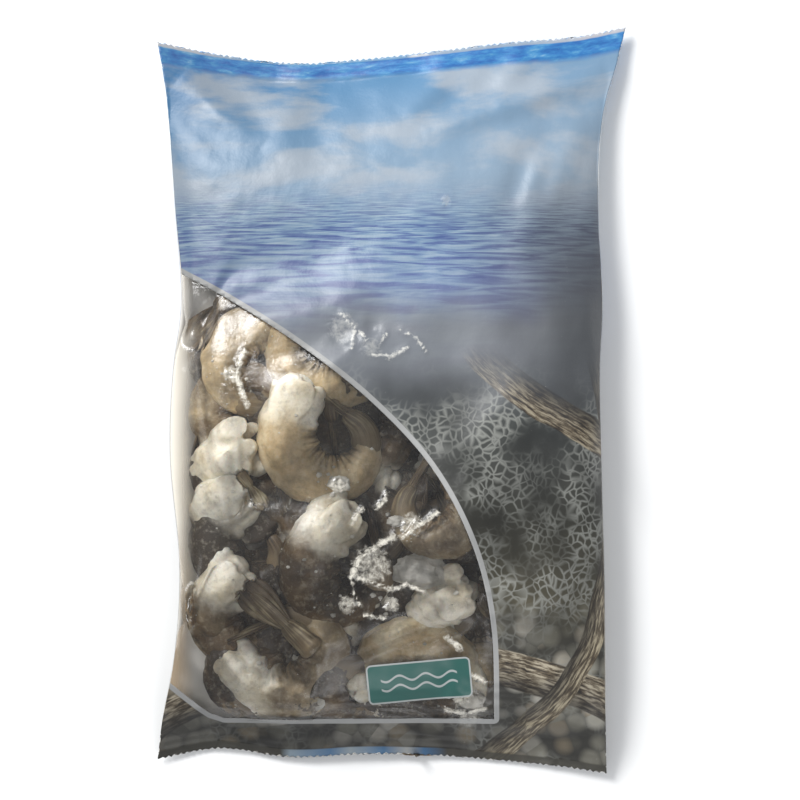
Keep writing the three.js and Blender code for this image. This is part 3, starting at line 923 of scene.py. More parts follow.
def shell_material():
    """Raw shrimp shell: thin horny plates, grey-brown with darker ribs and tips, dull with ice."""
    material, tree, output = new_material("raw_shrimp_shell")
    place = add(tree, "TexCoord", out="Object")
    tone = add(tree, "Attribute", attribute_name="tone", out="Fac")
    along = add(tree, "Attribute", attribute_name="along", out="Fac")
    mapped = add(tree, "UVMap", uv_map="shrimp")
    long_grain = add(tree, "Mapping", {"Vector": mapped, "Scale": (0.05, 26.0, 1.0)})
    ribs = add(tree, "TexNoise", {"Vector": long_grain, "Scale": 1.0, "Detail": 2.0}, out="Fac")
    blotch = add(
        tree, "TexNoise", {"Vector": place, "Scale": 1 / (6 * MM), "Detail": 3.0}, out="Fac"
    )
    mixed = add(tree, "Math", {0: ribs, 1: 1.7, 2: blotch}, operation="MULTIPLY_ADD")
    toned = add(tree, "Math", {0: tone, 1: 0.3, 2: mixed}, operation="MULTIPLY_ADD")
    tip = add(
        tree, "MapRange",
        {
            "Value": along,
            "From Min": FAN_ROOT + 0.6 * FAN_LENGTH,
            "From Max": FAN_ROOT + FAN_LENGTH,
        },
    )
    toned = add(tree, "Math", {0: tip, 1: -0.7, 2: toned}, operation="MULTIPLY_ADD")
    colour = add(
        tree, "ValToRGB",
        {"Fac": add(tree, "MapRange", {"Value": toned, "From Min": 0.85, "From Max": 2.05})},
        out="Color",
        ramp=[
            (0.0, "#2a2018"), (0.3, "#54442f"), (0.6, settings().colours.shell[:]),
            (0.85, "#a39677"), (1.0, "#b9ae93"),
        ],
    )
    fleshy = add(
        tree, "MapRange", {"Value": along, "From Min": 80.0, "From Max": 72.0, "To Max": 0.8}
    )
    colour = add(tree, "Mix", {"Factor": fleshy, "A": colour, "B": "#7f6d50"}, **COLOURS)
    bump = add(tree, "Bump", {"Strength": 0.4, "Distance": 0.4 * MM, "Height": ribs}, out="Normal")
    shader = add(
        tree, "BsdfPrincipled",
        {
            "Base Color": colour, "Roughness": 0.6, "IOR": 1.5, "Subsurface Weight": 0.2,
            "Subsurface Radius": (1.0, 0.6, 0.3), "Subsurface Scale": 1.2 * MM,
            "Coat Weight": 0.05, "Coat Roughness": 0.3, "Normal": bump,
        },
    )
    tree.links.new(shader, output.inputs["Surface"])
    return material


# ---- The film ----


def smooth_line(points, steps):
    """A smooth curve through all these points, as many short straight steps."""
    spots = [Vector(p) for p in points]
    ends = [2 * spots[0] - spots[1]] + spots + [2 * spots[-1] - spots[-2]]
    line = []
    for a, b, c, d in zip(ends, ends[1:], ends[2:], ends[3:]):
        for i in range(steps):
            t = i / steps
            line.append(
                0.5
                * (
                    2 * b
                    + (c - a) * t
                    + (2 * a - 5 * b + 4 * c - d) * t**2
                    + (3 * b - a - 3 * c + d) * t**3
                )
            )
    return line + [spots[-1]]


def window_outline():
    """The closed outline of the clear window, seen from above, in metres."""
    sweep = smooth_line(WINDOW_SWEEP, SWEEP_STEPS)
    return np.array([tuple(p) for p in sweep] + WINDOW_CORNERS) * MM


def is_inside(outline, points):
    """Which points lie inside a closed outline, seen from above."""
    x, y = points[:, 0], points[:, 1]
    inside = np.zeros(len(points), bool)
    for (ax, ay), (bx, by) in zip(outline, np.roll(outline, -1, 0)):
        crosses = (ay > y) != (by > y)
        with np.errstate(divide="ignore", invalid="ignore"):
            meets = ax + (y - ay) / (by - ay) * (bx - ax)
        inside ^= crosses & (x < meets)
    return inside


def distance_to(outline, points):
    """Each point's distance from an outline, seen from above."""
    nearest = np.full(len(points), np.inf)
    flat = points[:, :2]
    for a, b in zip(outline, np.roll(outline, -1, 0)):
        along = b - a
        share = np.clip(((flat - a) @ along) / (along @ along), 0, 1)
        nearest = np.minimum(nearest, np.linalg.norm(flat - a - share[:, None] * along, axis=1))
    return nearest


def select_faces(piece, chosen):
    """Selects the faces for which chosen is true, in edit mode, and nothing else."""
    bpy.ops.object.mode_set(mode="EDIT")
    bpy.ops.mesh.select_mode(type="FACE")
    bpy.ops.mesh.select_all(action="DESELECT")
    bpy.ops.object.mode_set(mode="OBJECT")
    piece.data.polygons.foreach_set("select", np.asarray(chosen, bool))
    piece.data.update()
    bpy.ops.object.mode_set(mode="EDIT")


def face_values(piece, name, width):
    found = np.empty(len(piece.data.polygons) * width)
    piece.data.polygons.foreach_get(name, found)
    return found.reshape(-1, width) if width > 1 else found


def split_off(piece, chosen, name):
    """Moves the chosen faces of a piece to a piece of their own."""
    only(piece)
    select_faces(piece, chosen)
    bpy.ops.mesh.separate(type="SELECTED")
    bpy.ops.object.mode_set(mode="OBJECT")
    made = next(o for o in bpy.context.selected_objects if o != piece)
    made.name = name
    return made


def film_sheets():
    """The pack's skin as two open sheets of quads: its front, and its back with the cut edges."""
    skin = copy_of(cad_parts["shrimp_pack"], "back_film")
    skin.data.materials.clear()
    only(skin)
    bpy.ops.object.mode_set(mode="EDIT")
    bpy.ops.mesh.select_all(action="SELECT")
    bpy.ops.mesh.remove_doubles(threshold=0.002 * MM)
    bpy.ops.mesh.tris_convert_to_quads(face_threshold=math.pi, shape_threshold=math.pi)
    bpy.ops.object.mode_set(mode="OBJECT")
    front = split_off(skin, face_values(skin, "normal", 3)[:, 2] > 0.05, "front_film")
    return front, skin


def cut_sheet(sheet, outline, name):
    """Cuts a sheet straight down along an outline, and splits off the part inside it."""
    count = len(outline)
    low, high = PACK_LOW.z - 0.02, PACK_HIGH.z + 0.02
    corners = [(x, y, z) for z in (low, high) for x, y in outline]
    faces = [(i, (i + 1) % count, (i + 1) % count + count, i + count) for i in range(count)]
    mesh = bpy.data.meshes.new("knife")
    mesh.from_pydata(corners, [], faces)
    knife = bpy.data.objects.new("knife", mesh)
    bpy.context.scene.collection.objects.link(knife)
    for piece in (sheet, knife):
        piece.data.materials.append(bpy.data.materials.new(piece.name))
    joined = join([sheet, knife], sheet.name)
    select_faces(joined, face_values(joined, "material_index", 1) == 1)
    bpy.ops.mesh.intersect(
        mode="SELECT_UNSELECT", separate_mode="NONE", threshold=1e-7, solver="FAST"
    )
    bpy.ops.object.mode_set(mode="OBJECT")
    select_faces(joined, face_values(joined, "material_index", 1) == 1)
    bpy.ops.mesh.delete(type="FACE")
    bpy.ops.object.mode_set(mode="OBJECT")
    joined.data.materials.clear()
    return split_off(joined, is_inside(outline, face_values(joined, "center", 3)), name)


def unrolled(points, front, is_back):
    """How far each point lies round the tube of film from the middle of the front, in metres."""
    side = np.where(points[:, 0] < 0, -1.0, 1.0)
    rows = np.arange(PACK_LOW.y + 6 * MM, PACK_HIGH.y - 6 * MM, 2 * MM)
    bend = np.empty(len(points))
    for sign in (-1.0, 1.0):
        rail = np.array([(sign * RAIL, y, 0) for y in rows])
        heights = cast_heights(front, rail, -1.0)
        met = np.isfinite(heights)
        here = side == sign
        bend[here] = np.interp(points[here, 1], rows[met], heights[met])
    flat = np.abs(points[:, 0])
    past = np.hypot(flat - RAIL, points[:, 2] - bend)
    round_front = np.where(flat < RAIL, flat, RAIL + past)
    round_back = FOLD_PLACE + (PACK_HIGH.x - flat)
    return side * np.where(is_back, round_back, round_front)


def let_drape(sheet, outline, bodies):
    """Lets the film over the window sink onto the shrimp as cloth, with a little film to spare."""
    points = points_of(sheet)
    inside = is_inside(outline, points)
    outwards = np.where(inside, 0.0, distance_to(outline, points))
    fold = PACK_HIGH.x - 11 * MM - np.abs(points[:, 0])
    ends = PACK_HIGH.y - 30 * MM - np.abs(points[:, 1])
    held = np.maximum(
        smooth(4 * MM, 30 * MM, outwards), 1 - smooth(-2 * MM, 7 * MM, np.minimum(fold, ends))
    )
    group = weigh(sheet, "held", held)
    stones = []
    for body in bodies:
        stone = copy_of(body, "stone")
        finish(stone, "DECIMATE", ratio=STONE_SHARE)
        stones.append(stone)
    stone = join(stones, "stone")
    stone.modifiers.new("Collision", "COLLISION")
    stone.collision.thickness_outer = 0.4 * MM
    stone.collision.cloth_friction = 20
    cloth = sheet.modifiers.new("Cloth", "CLOTH")
    film = cloth.settings
    film.quality = 6
    film.mass = 0.15
    film.tension_stiffness = film.compression_stiffness = 25
    film.shear_stiffness = 12
    film.bending_stiffness = 0.3
    film.air_damping = 2
    film.shrink_min = -SPARE_FILM
    film.vertex_group_mass = group
    film.pin_stiffness = 1
    cloth.collision_settings.distance_min = 0.5 * MM
    cloth.collision_settings.collision_quality = 3
    for step in range(1, DRAPE_FRAMES + 1):
        bpy.context.scene.frame_set(step)
    only(sheet)
    bpy.ops.object.modifier_apply(modifier=cloth.name)
    bpy.context.scene.frame_set(1)
    remove(stone)


def near_line(points, start, end):
    """Each point's distance from a straight line and its place along it, seen from above, in
    millimetres and from 0 to 1."""
    flat = points[:, :2] / MM
    start, along = np.array(start, float), np.subtract(end, start).astype(float)
    share = np.clip(((flat - start) @ along) / (along @ along), 0, 1)
    return np.linalg.norm(flat - start - share[:, None] * along, axis=1), share


def add_folds(sheet):
    """Raises the soft folds of the film, each fading out towards its ends."""
    points = points_of(sheet)
    for start, end, half, height in FOLDS:
        away, share = near_line(points, start, end)
        ridge = np.exp(-((away / half) ** 2)) - 0.45 * np.exp(-(((away - 1.9 * half) / half) ** 2))
        points[:, 2] += height * MM * ridge * np.sin(math.pi * share) ** 0.6
    move_points(sheet, points)


def soften(sheet):
    """Evens out the sharp bends of a sheet away from its seals."""
    off_seals = smooth(0, 12 * MM, PACK_HIGH.y - 22 * MM - np.abs(points_of(sheet)[:, 1]))
    group = weigh(sheet, "off_seals", off_seals)
    finish(sheet, "SMOOTH", factor=0.5, iterations=3, vertex_group=group)


def crumpled_share(points):
    """How crumpled the film is at each point, from 0 to 1."""
    share = np.zeros(len(points))
    for x, y, radius in CRUMPLES:
        away = np.hypot(points[:, 0] / MM - x, points[:, 1] / MM - y)
        share = np.maximum(share, 1 - smooth(0.3 * radius, radius, away))
    return share


def crease_share(points):
    """How near each point is to the middle of a sharp crease: 1 on it and 0 beside it."""
    share = np.zeros(len(points))
    for half, places in CREASES:
        for start, end in zip(places, places[1:]):
            away, _ = near_line(points, start, end)
            share = np.maximum(share, 1 - away / half)
    return share


def displace(sheet, group_name, weights, textures):
    """Displaces a sheet by each noise in turn, [name, size, strength], by these weights."""
    group = weigh(sheet, group_name, weights, 0.001)
    for name, size, strength in textures:
        roughen(sheet, f"{sheet.name}_{name}", size, strength, vertex_group=group)


def crinkle(sheet):
    """Small folds and dents all over a sheet, less on its seals, and its crumpled places."""
    points = points_of(sheet)
    loose = smooth(0, 16 * MM, PACK_HIGH.y - 14 * MM - np.abs(points[:, 1]))
    loose = loose * smooth(0, 12 * MM, PACK_HIGH.x - 8 * MM - np.abs(points[:, 0]))
    displace(sheet, "loose_film", loose, SOFT_FOLDS)
    displace(sheet, "crumpled_film", crumpled_share(points) * loose, CRUMPLE_FOLDS)
    points = points_of(sheet)
    points[:, 2] += CREASE_HEIGHT * MM * crease_share(points)
    move_points(sheet, points)


def keep_above(sheet, surface, gap):
    """Lifts every point of a sheet to at least this far above a surface under it."""
    points = points_of(sheet)
    points[:, 2] = np.fmax(points[:, 2], cast_heights(surface, points, 1.0) + gap)
    move_points(sheet, points)


def notch_ends(sheet, ends):
    """Cuts the teeth of the sealing jaws' knife into the two end edges of a sheet."""
    middles, tops, bottoms = ends
    points = points_of(sheet)
    x, y, _ = points.T
    notch = TOOTH_DEPTH * np.abs(2 * (x / TOOTH_PITCH % 1) - 1)
    near_top = smooth(3 * MM, 0, np.interp(x, middles, tops) - y)
    near_bottom = smooth(3 * MM, 0, y - np.interp(x, middles, bottoms))
    points[:, 1] += notch * (near_bottom - near_top)
    move_points(sheet, points)


def end_lines(sheet):
    """The wavy top and bottom edges of a sheet: their places across and heights."""
    points = points_of(sheet)
    columns = np.linspace(PACK_LOW.x, PACK_HIGH.x, END_COLUMNS + 1)
    which = np.digitize(points[:, 0], columns)
    middles, tops, bottoms = [], [], []
    for i in range(1, len(columns)):
        here = points[which == i, 1]
        if len(here):
            middles.append((columns[i - 1] + columns[i]) / 2)
            tops.append(here.max())
            bottoms.append(here.min())
    return middles, tops, bottoms


def up_the_print(points, ends):
    """Each point's height on the flat print, whose end bands follow the wavy seals."""
    middles, tops, bottoms = ends
    x, y = points[:, 0], points[:, 1]
    above = (PACK_HIGH.y - np.interp(x, middles, tops)) * smooth(110 * MM, 165 * MM, y)
    below = (PACK_LOW.y - np.interp(x, middles, bottoms)) * smooth(-120 * MM, -160 * MM, y)
    return y + above + below


class SHRIMPPACK_OT_film(bpy.types.Operator):
    """Make the film of the pack: its printed front and back, and the clear window"""

    bl_idname = "shrimppack.film"
    bl_label = "Film"

    def execute(self, context):
        front, back = film_sheets()
        outline = window_outline()
        contents = [bpy.data.objects[f"{layer}_{part}"] for layer in LAYERS for part in PARTS]
        for sheet in (front, back):
            finish(sheet, "SUBSURF", levels=1, render_levels=1)
        front_tree = tree_of(front)
        let_drape(front, outline, contents[:2])
        soften(front)
        for sheet in (front, back):
            finish(sheet, "SUBSURF", levels=1, render_levels=1)
        ends = end_lines(front)
        for sheet in (front, back):
            notch_ends(sheet, ends)
        add_folds(front)
        crinkle(front)
        gauge = settings().sizes.film_gauge
        keep_above(front, tree_of(back), 2.5 * gauge)
        film = tree_of(front)
        for piece in contents:
            press_under(piece, film, settings().sizes.film_gap)
        window = cut_sheet(front, outline, "window_film")
        ink, clear = inside_material(), window_inside_material()
        looks = {
            front: (printed_material(), ink),
            window: (window_material(), clear),
            back: (back_material(), ink),
        }
        for sheet, pair in looks.items():
            points = points_of(sheet)
            across = unrolled(points, front_tree, sheet == back)
            set_uv(sheet, "film", across, up_the_print(points, ends))
            if sheet != back:
                set_attribute(sheet, "crumpled", crumpled_share(points))
                set_attribute(sheet, "crease", crease_share(points))
            if sheet == front:
                set_attribute(sheet, "from_window", distance_to(outline, points) / MM)
            for look in pair:
                sheet.data.materials.append(look)
            finish(sheet, "SOLIDIFY", thickness=gauge, offset=-1, material_offset=1)
            smooth_shaded(sheet, 80)
            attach(sheet, "root")
            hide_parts("shrimp_pack")
        return {"FINISHED"}


def inside_material():
    """The inner face of polyethylene film: its white backing ink, slightly creamy and dull."""
    material, tree, output = new_material("film_backing_ink")
    place = add(tree, "TexCoord", out="Object")
    cloudy = add(tree, "TexNoise", {"Vector": place, "Scale": 1 / (30 * MM)}, out="Fac")
    colour = add(tree, "ValToRGB", {"Fac": cloudy}, ramp=[(0.3, "#e6e2d8"), (0.7, "#f0ede7")])
    shader = add(tree, "BsdfPrincipled", {"Base Color": colour, "Roughness": 0.45, "IOR": 1.5})
    tree.links.new(shader, output.inputs["Surface"])
    return material


def back_material():
    """Printed polyethylene film on the back of the pack: a plain pale panel, between sides in the
    colours of the front."""
    material, tree, output = new_material("printed_film_back")
    film = add(tree, "UVMap", uv_map="film")
    parts = add(tree, "SeparateXYZ", {0: film}).node.outputs
    across = add(tree, "Math", {0: parts["X"]}, operation="ABSOLUTE")
    wave = add(tree, "TexNoise", {"Vector": film, "Scale": 1 / (60 * MM), "Detail": 1.0}, out="Fac")
    edge = add(tree, "Math", {0: wave, 1: 0.02, 2: across}, operation="MULTIPLY_ADD")
    panel = add(tree, "MapRange", {"Value": edge, "From Min": 0.147, "From Max": 0.155}, **EASED)
    off_middle = add(tree, "Math", {0: parts["Y"]}, operation="ABSOLUTE")
    off_seals = add(tree, "MapRange", {"Value": off_middle, "From Min": 0.16, "From Max": 0.155})
    panel = add(tree, "Math", {0: panel, 1: off_seals}, operation="MULTIPLY")
    level = add(tree, "MapRange", {"Value": parts["Y"], "From Min": -0.175, "From Max": 0.175})
    sides = add(
        tree, "ValToRGB", {"Fac": level},
        ramp=[
            (0.0, "#24221e"), (0.2, "#55534a"), (0.5, "#5f6266"), (0.68, "#7388ab"),
            (0.88, "#8fb0cc"), (0.96, "#4f9bd9"),
        ],
    )
    colour = add(tree, "Mix", {"Factor": panel, "A": sides, "B": "#dcdad2"}, **COLOURS)
    shader = add(tree, "BsdfPrincipled", {"Base Color": colour, "Roughness": 0.32, "IOR": 1.5})
    tree.links.new(shader, output.inputs["Surface"])
    return material


def crumpled_bump(tree, place, smooth_height, crumpled_height):
    """A bump for film: faint all over, and strong with sharp creases where it is crumpled."""
    fine = add(
        tree, "TexNoise",
        {"Vector": place, "Scale": 1 / (2.2 * MM), "Detail": 5.0, "Roughness": 0.62}, out="Fac",
    )
    creases = add(
        tree, "TexNoise",
        {"Vector": place, "Scale": 1 / (6.5 * MM), "Detail": 4.0, "Distortion": 0.8}, out="Fac",
        noise_type="RIDGED_MULTIFRACTAL",
    )
    crumpled = add(tree, "Attribute", attribute_name="crumpled", out="Fac")
    crease = add(tree, "Attribute", attribute_name="crease", out="Fac")
    bent = add(tree, "Math", {0: crumpled, 1: crease}, operation="MAXIMUM")
    faint = add(tree, "Math", {0: fine, 1: smooth_height}, operation="MULTIPLY")
    strong = add(tree, "Math", {0: bent, 1: crumpled_height}, operation="MULTIPLY")
    height = add(tree, "Math", {0: creases, 1: strong, 2: faint}, operation="MULTIPLY_ADD")
    return add(tree, "Bump", {"Strength": 1.0, "Distance": MM, "Height": height}, out="Normal")


def painted_glints(tree, place, glint_veil_share):
    """Painted glints: how much white paint stands in for the highlights where the film is bent
    sharply, from 0 to 1: grainy along its creases, and as a thin veil over its crumpled places."""
    crease = add(tree, "Attribute", attribute_name="crease", out="Fac")
    crumpled = add(tree, "Attribute", attribute_name="crumpled", out="Fac")
    grain = add(
        tree, "TexNoise",
        {
            "Vector": place, "Scale": 1 / (2.4 * MM), "Detail": 6.0, "Roughness": 0.78,
            "Distortion": 0.5,
        },
        out="Fac",
    )
    near = add(tree, "Math", {0: grain, 1: 2.6, 2: crease}, operation="MULTIPLY_ADD")
    sharp = add(tree, "MapRange", {"Value": near, "From Min": 1.72, "From Max": 2.3, "To Max": 0.9})
    patchy = add(tree, "Math", {0: grain, 1: 1.9, 2: crumpled}, operation="MULTIPLY_ADD")
    veil = add(
        tree, "MapRange", {"Value": patchy, "From Min": 1.7, "From Max": 2.3, "To Max": glint_veil_share}
    )
    return add(tree, "Math", {0: sharp, 1: veil}, operation="MAXIMUM")


def window_material():
    """Clear polyethylene film: see-through with a faint haze, and glossy where its small crinkles
    catch the light, with painted white glints on its creases and crumples."""
    material, tree, output = new_material("clear_polyethylene_film")
    place = add(tree, "TexCoord", out="Object")
    broad = add(
        tree, "TexNoise", {"Vector": place, "Scale": 1 / (24 * MM), "Detail": 3.0}, out="Fac"
    )
    bump = crumpled_bump(tree, place, 0.2, 1.1)
    haze = add(
        tree, "MapRange",
        {"Value": broad, "From Min": 0.4, "From Max": 0.75, "To Min": 0.002, "To Max": 0.035},
    )
    parts = add(tree, "SeparateXYZ", {0: add(tree, "UVMap", uv_map="film")}).node.outputs
    folded = add(
        tree, "MapRange",
        {"Value": parts["X"], "From Min": -0.091, "From Max": -0.106, "To Max": 0.8}, **EASED,
    )
    upwards = add(tree, "MapRange", {"Value": parts["Y"], "From Min": -0.098, "From Max": -0.055})
    side_colour = add(tree, "Mix", {"Factor": upwards, "A": "#a8957b", "B": "#ebe5d9"}, **COLOURS)
    haze = add(tree, "Math", {0: haze, 1: folded}, operation="MAXIMUM")
    clear = add(tree, "BsdfTransparent", {"Color": (1, 1, 1, 1)})
    cloudy = add(tree, "BsdfDiffuse", {"Color": side_colour, "Roughness": 0.5})
    hazed = add(tree, "MixShader", {0: haze, 1: clear, 2: cloudy})
    # Painted glints: a white diffuse stands in for the highlights on the film's creases and
    # crumples.
    white = add(tree, "BsdfDiffuse", {"Color": "#e8e3d6", "Roughness": 0.3, "Normal": bump})
    hazed = add(tree, "MixShader", {0: painted_glints(tree, place, 0.75), 1: hazed, 2: white})
    gloss = add(tree, "BsdfAnisotropic", {"Color": (1, 1, 1, 1), "Roughness": 0.2, "Normal": bump})
    mirror = add(tree, "Fresnel", {"IOR": 1.5, "Normal": bump})
    shader = add(tree, "MixShader", {0: mirror, 1: hazed, 2: gloss})
    tree.links.new(shader, output.inputs["Surface"])
    return material


def window_inside_material():
    """The inner face of the clear film, which lies wet on the ice and so hardly reflects."""
    material, tree, output = new_material("clear_film_inside")
    shader = add(tree, "BsdfTransparent", {"Color": (1, 1, 1, 1)})
    tree.links.new(shader, output.inputs["Surface"])
    return material


def driftwood(tree, under, place, knots, log):
    """Paints one bent log of driftwood over a colour. The log is an arc: [centre, radius, half its
    thickness, dark colour, pale colour], in millimetres of film."""
    centre, radius, half, dark, pale = log
    offset = add(tree, "VectorMath", {0: place, 1: (*centre, 0)}, operation="SUBTRACT")
    away = add(tree, "VectorMath", {0: offset}, out="Value", operation="LENGTH")
    off_middle = add(tree, "Math", {0: away, 1: radius}, operation="SUBTRACT")
    knotty = add(tree, "Math", {0: knots, 1: half * 0.9, 2: off_middle}, operation="MULTIPLY_ADD")
    share = add(tree, "Math", {0: knotty, 1: half}, operation="DIVIDE")
    size = add(tree, "Math", {0: share}, operation="ABSOLUTE")
    parts = add(tree, "SeparateXYZ", {0: offset}).node.outputs
    turn = add(tree, "Math", {0: parts["Y"], 1: parts["X"]}, operation="ARCTAN2")
    length = add(tree, "Math", {0: turn, 1: radius / 14}, operation="MULTIPLY")
    width = add(tree, "Math", {0: share, 1: 3.6}, operation="MULTIPLY")
    run = add(tree, "CombineXYZ", {"X": length, "Y": width})
    fibre = add(
        tree, "TexNoise", {"Vector": run, "Scale": 1.6, "Detail": 5.0, "Roughness": 0.62}, out="Fac"
    )
    wood = add(
        tree, "ValToRGB", {"Fac": fibre},
        ramp=[(0.38, dark), (0.48, settings().colours.wood[:]), (0.6, pale)],
    )
    rounded = add(
        tree, "MapRange", {"Value": share, "From Min": 0.5, "From Max": -1.05, "To Max": 0.8},
        **EASED,
    )
    shaded = add(tree, "Mix", {"Factor": rounded, "A": wood, "B": "#17130f"}, **COLOURS)
    here = add(tree, "MapRange", {"Value": size, "From Min": 1.04, "From Max": 0.96})
    return add(tree, "Mix", {"Factor": here, "A": under, "B": shaded}, **COLOURS)


def printed_sky(tree, across, along, billow):
    """A blue that deepens to the top left, with soft low clouds."""
    depth = add(tree, "Math", {0: across, 1: -0.35, 2: along}, operation="MULTIPLY_ADD")
    blue = add(
        tree, "ValToRGB",
        {"Fac": add(tree, "MapRange", {"Value": depth, "From Min": 60.0, "From Max": 200.0})},
        ramp=[(0.0, "#a2b4c4"), (0.4, "#89a8c3"), (0.75, "#6095c0"), (1.0, "#3d89c4")],
    )
    cloud = add(
        tree, "MapRange", {"Value": billow, "From Min": 0.42, "From Max": 0.6, "To Max": 0.88},
        **EASED,
    )
    return add(tree, "Mix", {"Factor": cloud, "A": blue, "B": "#b4bfca"}, **COLOURS)


def printed_sea(tree, across, along, level):
    """Ripples that come closer together towards the horizon, fading into mist near the shore."""
    below = add(tree, "Math", {0: HORIZON + 16.0, 1: along}, operation="SUBTRACT")
    depth = add(tree, "Math", {0: below, 1: 3.0}, operation="MAXIMUM")
    far = add(tree, "Math", {0: 1150.0, 1: depth}, operation="DIVIDE")
    spread = add(tree, "Math", {0: across, 1: depth}, operation="DIVIDE")
    swell = add(
        tree, "CombineXYZ",
        {"X": add(tree, "Math", {0: spread, 1: 1.9}, operation="MULTIPLY"), "Y": far},
    )
    ripple = add(
        tree, "TexNoise",
        {"Vector": swell, "Scale": 1.0, "Detail": 3.0, "Roughness": 0.55, "Distortion": 0.5},
        out="Fac",
    )
    clear = add(
        tree, "ValToRGB", {"Fac": ripple},
        ramp=[
            (0.33, "#365798"), (0.43, "#5a76a8"), (0.5, "#7698ba"), (0.58, "#93b0c6"),
            (0.7, "#adc3d1"),
        ],
    )
    grey = add(
        tree, "ValToRGB", {"Fac": ripple},
        ramp=[
            (0.33, "#474e72"), (0.43, "#5f6b88"), (0.5, "#76879e"), (0.58, "#899eb1"),
            (0.7, "#9dafbd"),
        ],
    )
    rightwards = add(
        tree, "MapRange", {"Value": across, "From Min": 10.0, "From Max": 85.0}, **EASED
    )
    water = add(tree, "Mix", {"Factor": rightwards, "A": clear, "B": grey}, **COLOURS)
    violet = add(
        tree, "MapRange", {"Value": along, "From Min": 88.0, "From Max": 45.0, "To Max": 0.42}
    )
    water = add(tree, "Mix", {"Factor": violet, "A": water, "B": "#8a8cb0"}, **COLOURS)
    mist = add(
        tree, "MapRange", {"Value": level, "From Min": 75.0, "From Max": 48.0, "To Max": 0.9},
        **EASED,
    )
    return add(tree, "Mix", {"Factor": mist, "A": water, "B": "#8c8f92"}, **COLOURS)


def printed_shore(tree, place, level, wander):
    """Wet sand and pebbles under a thin lace of foam, with driftwood on them."""
    stones = add(
        tree, "TexVoronoi", {"Vector": place, "Scale": 1 / 9, "Randomness": 0.95}, out="Distance",
        feature="F1",
    )
    stone_tone = add(
        tree, "TexVoronoi", {"Vector": place, "Scale": 1 / 9, "Randomness": 0.95}, out="Color"
    )
    stone = add(
        tree, "ValToRGB", {"Fac": stone_tone},
        ramp=[(0.2, "#858274"), (0.45, "#aeaa9a"), (0.6, "#d6d2c6"), (0.8, "#a4967d")],
    )
    gap = add(tree, "MapRange", {"Value": stones, "From Min": 0.4, "From Max": 0.72})
    pebbles = add(tree, "Mix", {"Factor": gap, "A": stone, "B": "#45433b"}, **COLOURS)
    height = add(tree, "MapRange", {"Value": level, "From Min": -158.0, "From Max": 192.0})
    sand = add(
        tree, "ValToRGB", {"Fac": height},
        ramp=[
            (0.05, "#35322b"), (0.2, "#55503f"), (0.34, "#3b3a31"), (0.48, "#474a48"),
            (0.58, "#787b7e"),
        ],
    )
    stony = add(
        tree, "MapRange", {"Value": level, "From Min": -72.0, "From Max": -100.0, "To Max": 0.95},
        **EASED,
    )
    ground = add(tree, "Mix", {"Factor": stony, "A": sand, "B": pebbles}, **COLOURS)
    swirl = add(tree, "TexNoise", {"Vector": place, "Scale": 1 / 14, "Detail": 2.0}, out="Color")
    moved = add(tree, "VectorMath", {0: swirl, 1: (9.0, 9.0, 0.0)}, operation="MULTIPLY")
    bent = add(tree, "VectorMath", {0: place, 1: moved}, operation="ADD")
    lace = add(
        tree, "TexVoronoi", {"Vector": bent, "Scale": 1 / 3.6, "Randomness": 0.9}, out="Distance",
        feature="DISTANCE_TO_EDGE",
    )
    patches = add(tree, "TexNoise", {"Vector": place, "Scale": 1 / 34, "Detail": 3.0}, out="Fac")
    foam_here = add(
        tree, "MapRange", {"Value": patches, "From Min": 0.44, "From Max": 0.6, "To Max": 0.62}
    )
    line = add(tree, "MapRange", {"Value": lace, "From Min": 0.17, "From Max": 0.02})
    foam = add(tree, "Math", {0: line, 1: foam_here}, operation="MULTIPLY")
    shore = add(tree, "Mix", {"Factor": foam, "A": ground, "B": "#a9aaa3"}, **COLOURS)
    heaped = add(
        tree, "MapRange",
        {"Value": patches, "From Min": 0.4, "From Max": 0.62, "To Min": 0.55, "To Max": 1.1},
    )
    shore = add(
        tree, "Mix", {"Factor": 1.0, "A": shore, "B": heaped}, blend_type="MULTIPLY", **COLOURS
    )
    for log in LOGS:
        shore = driftwood(tree, shore, place, wander, log)
    return shore


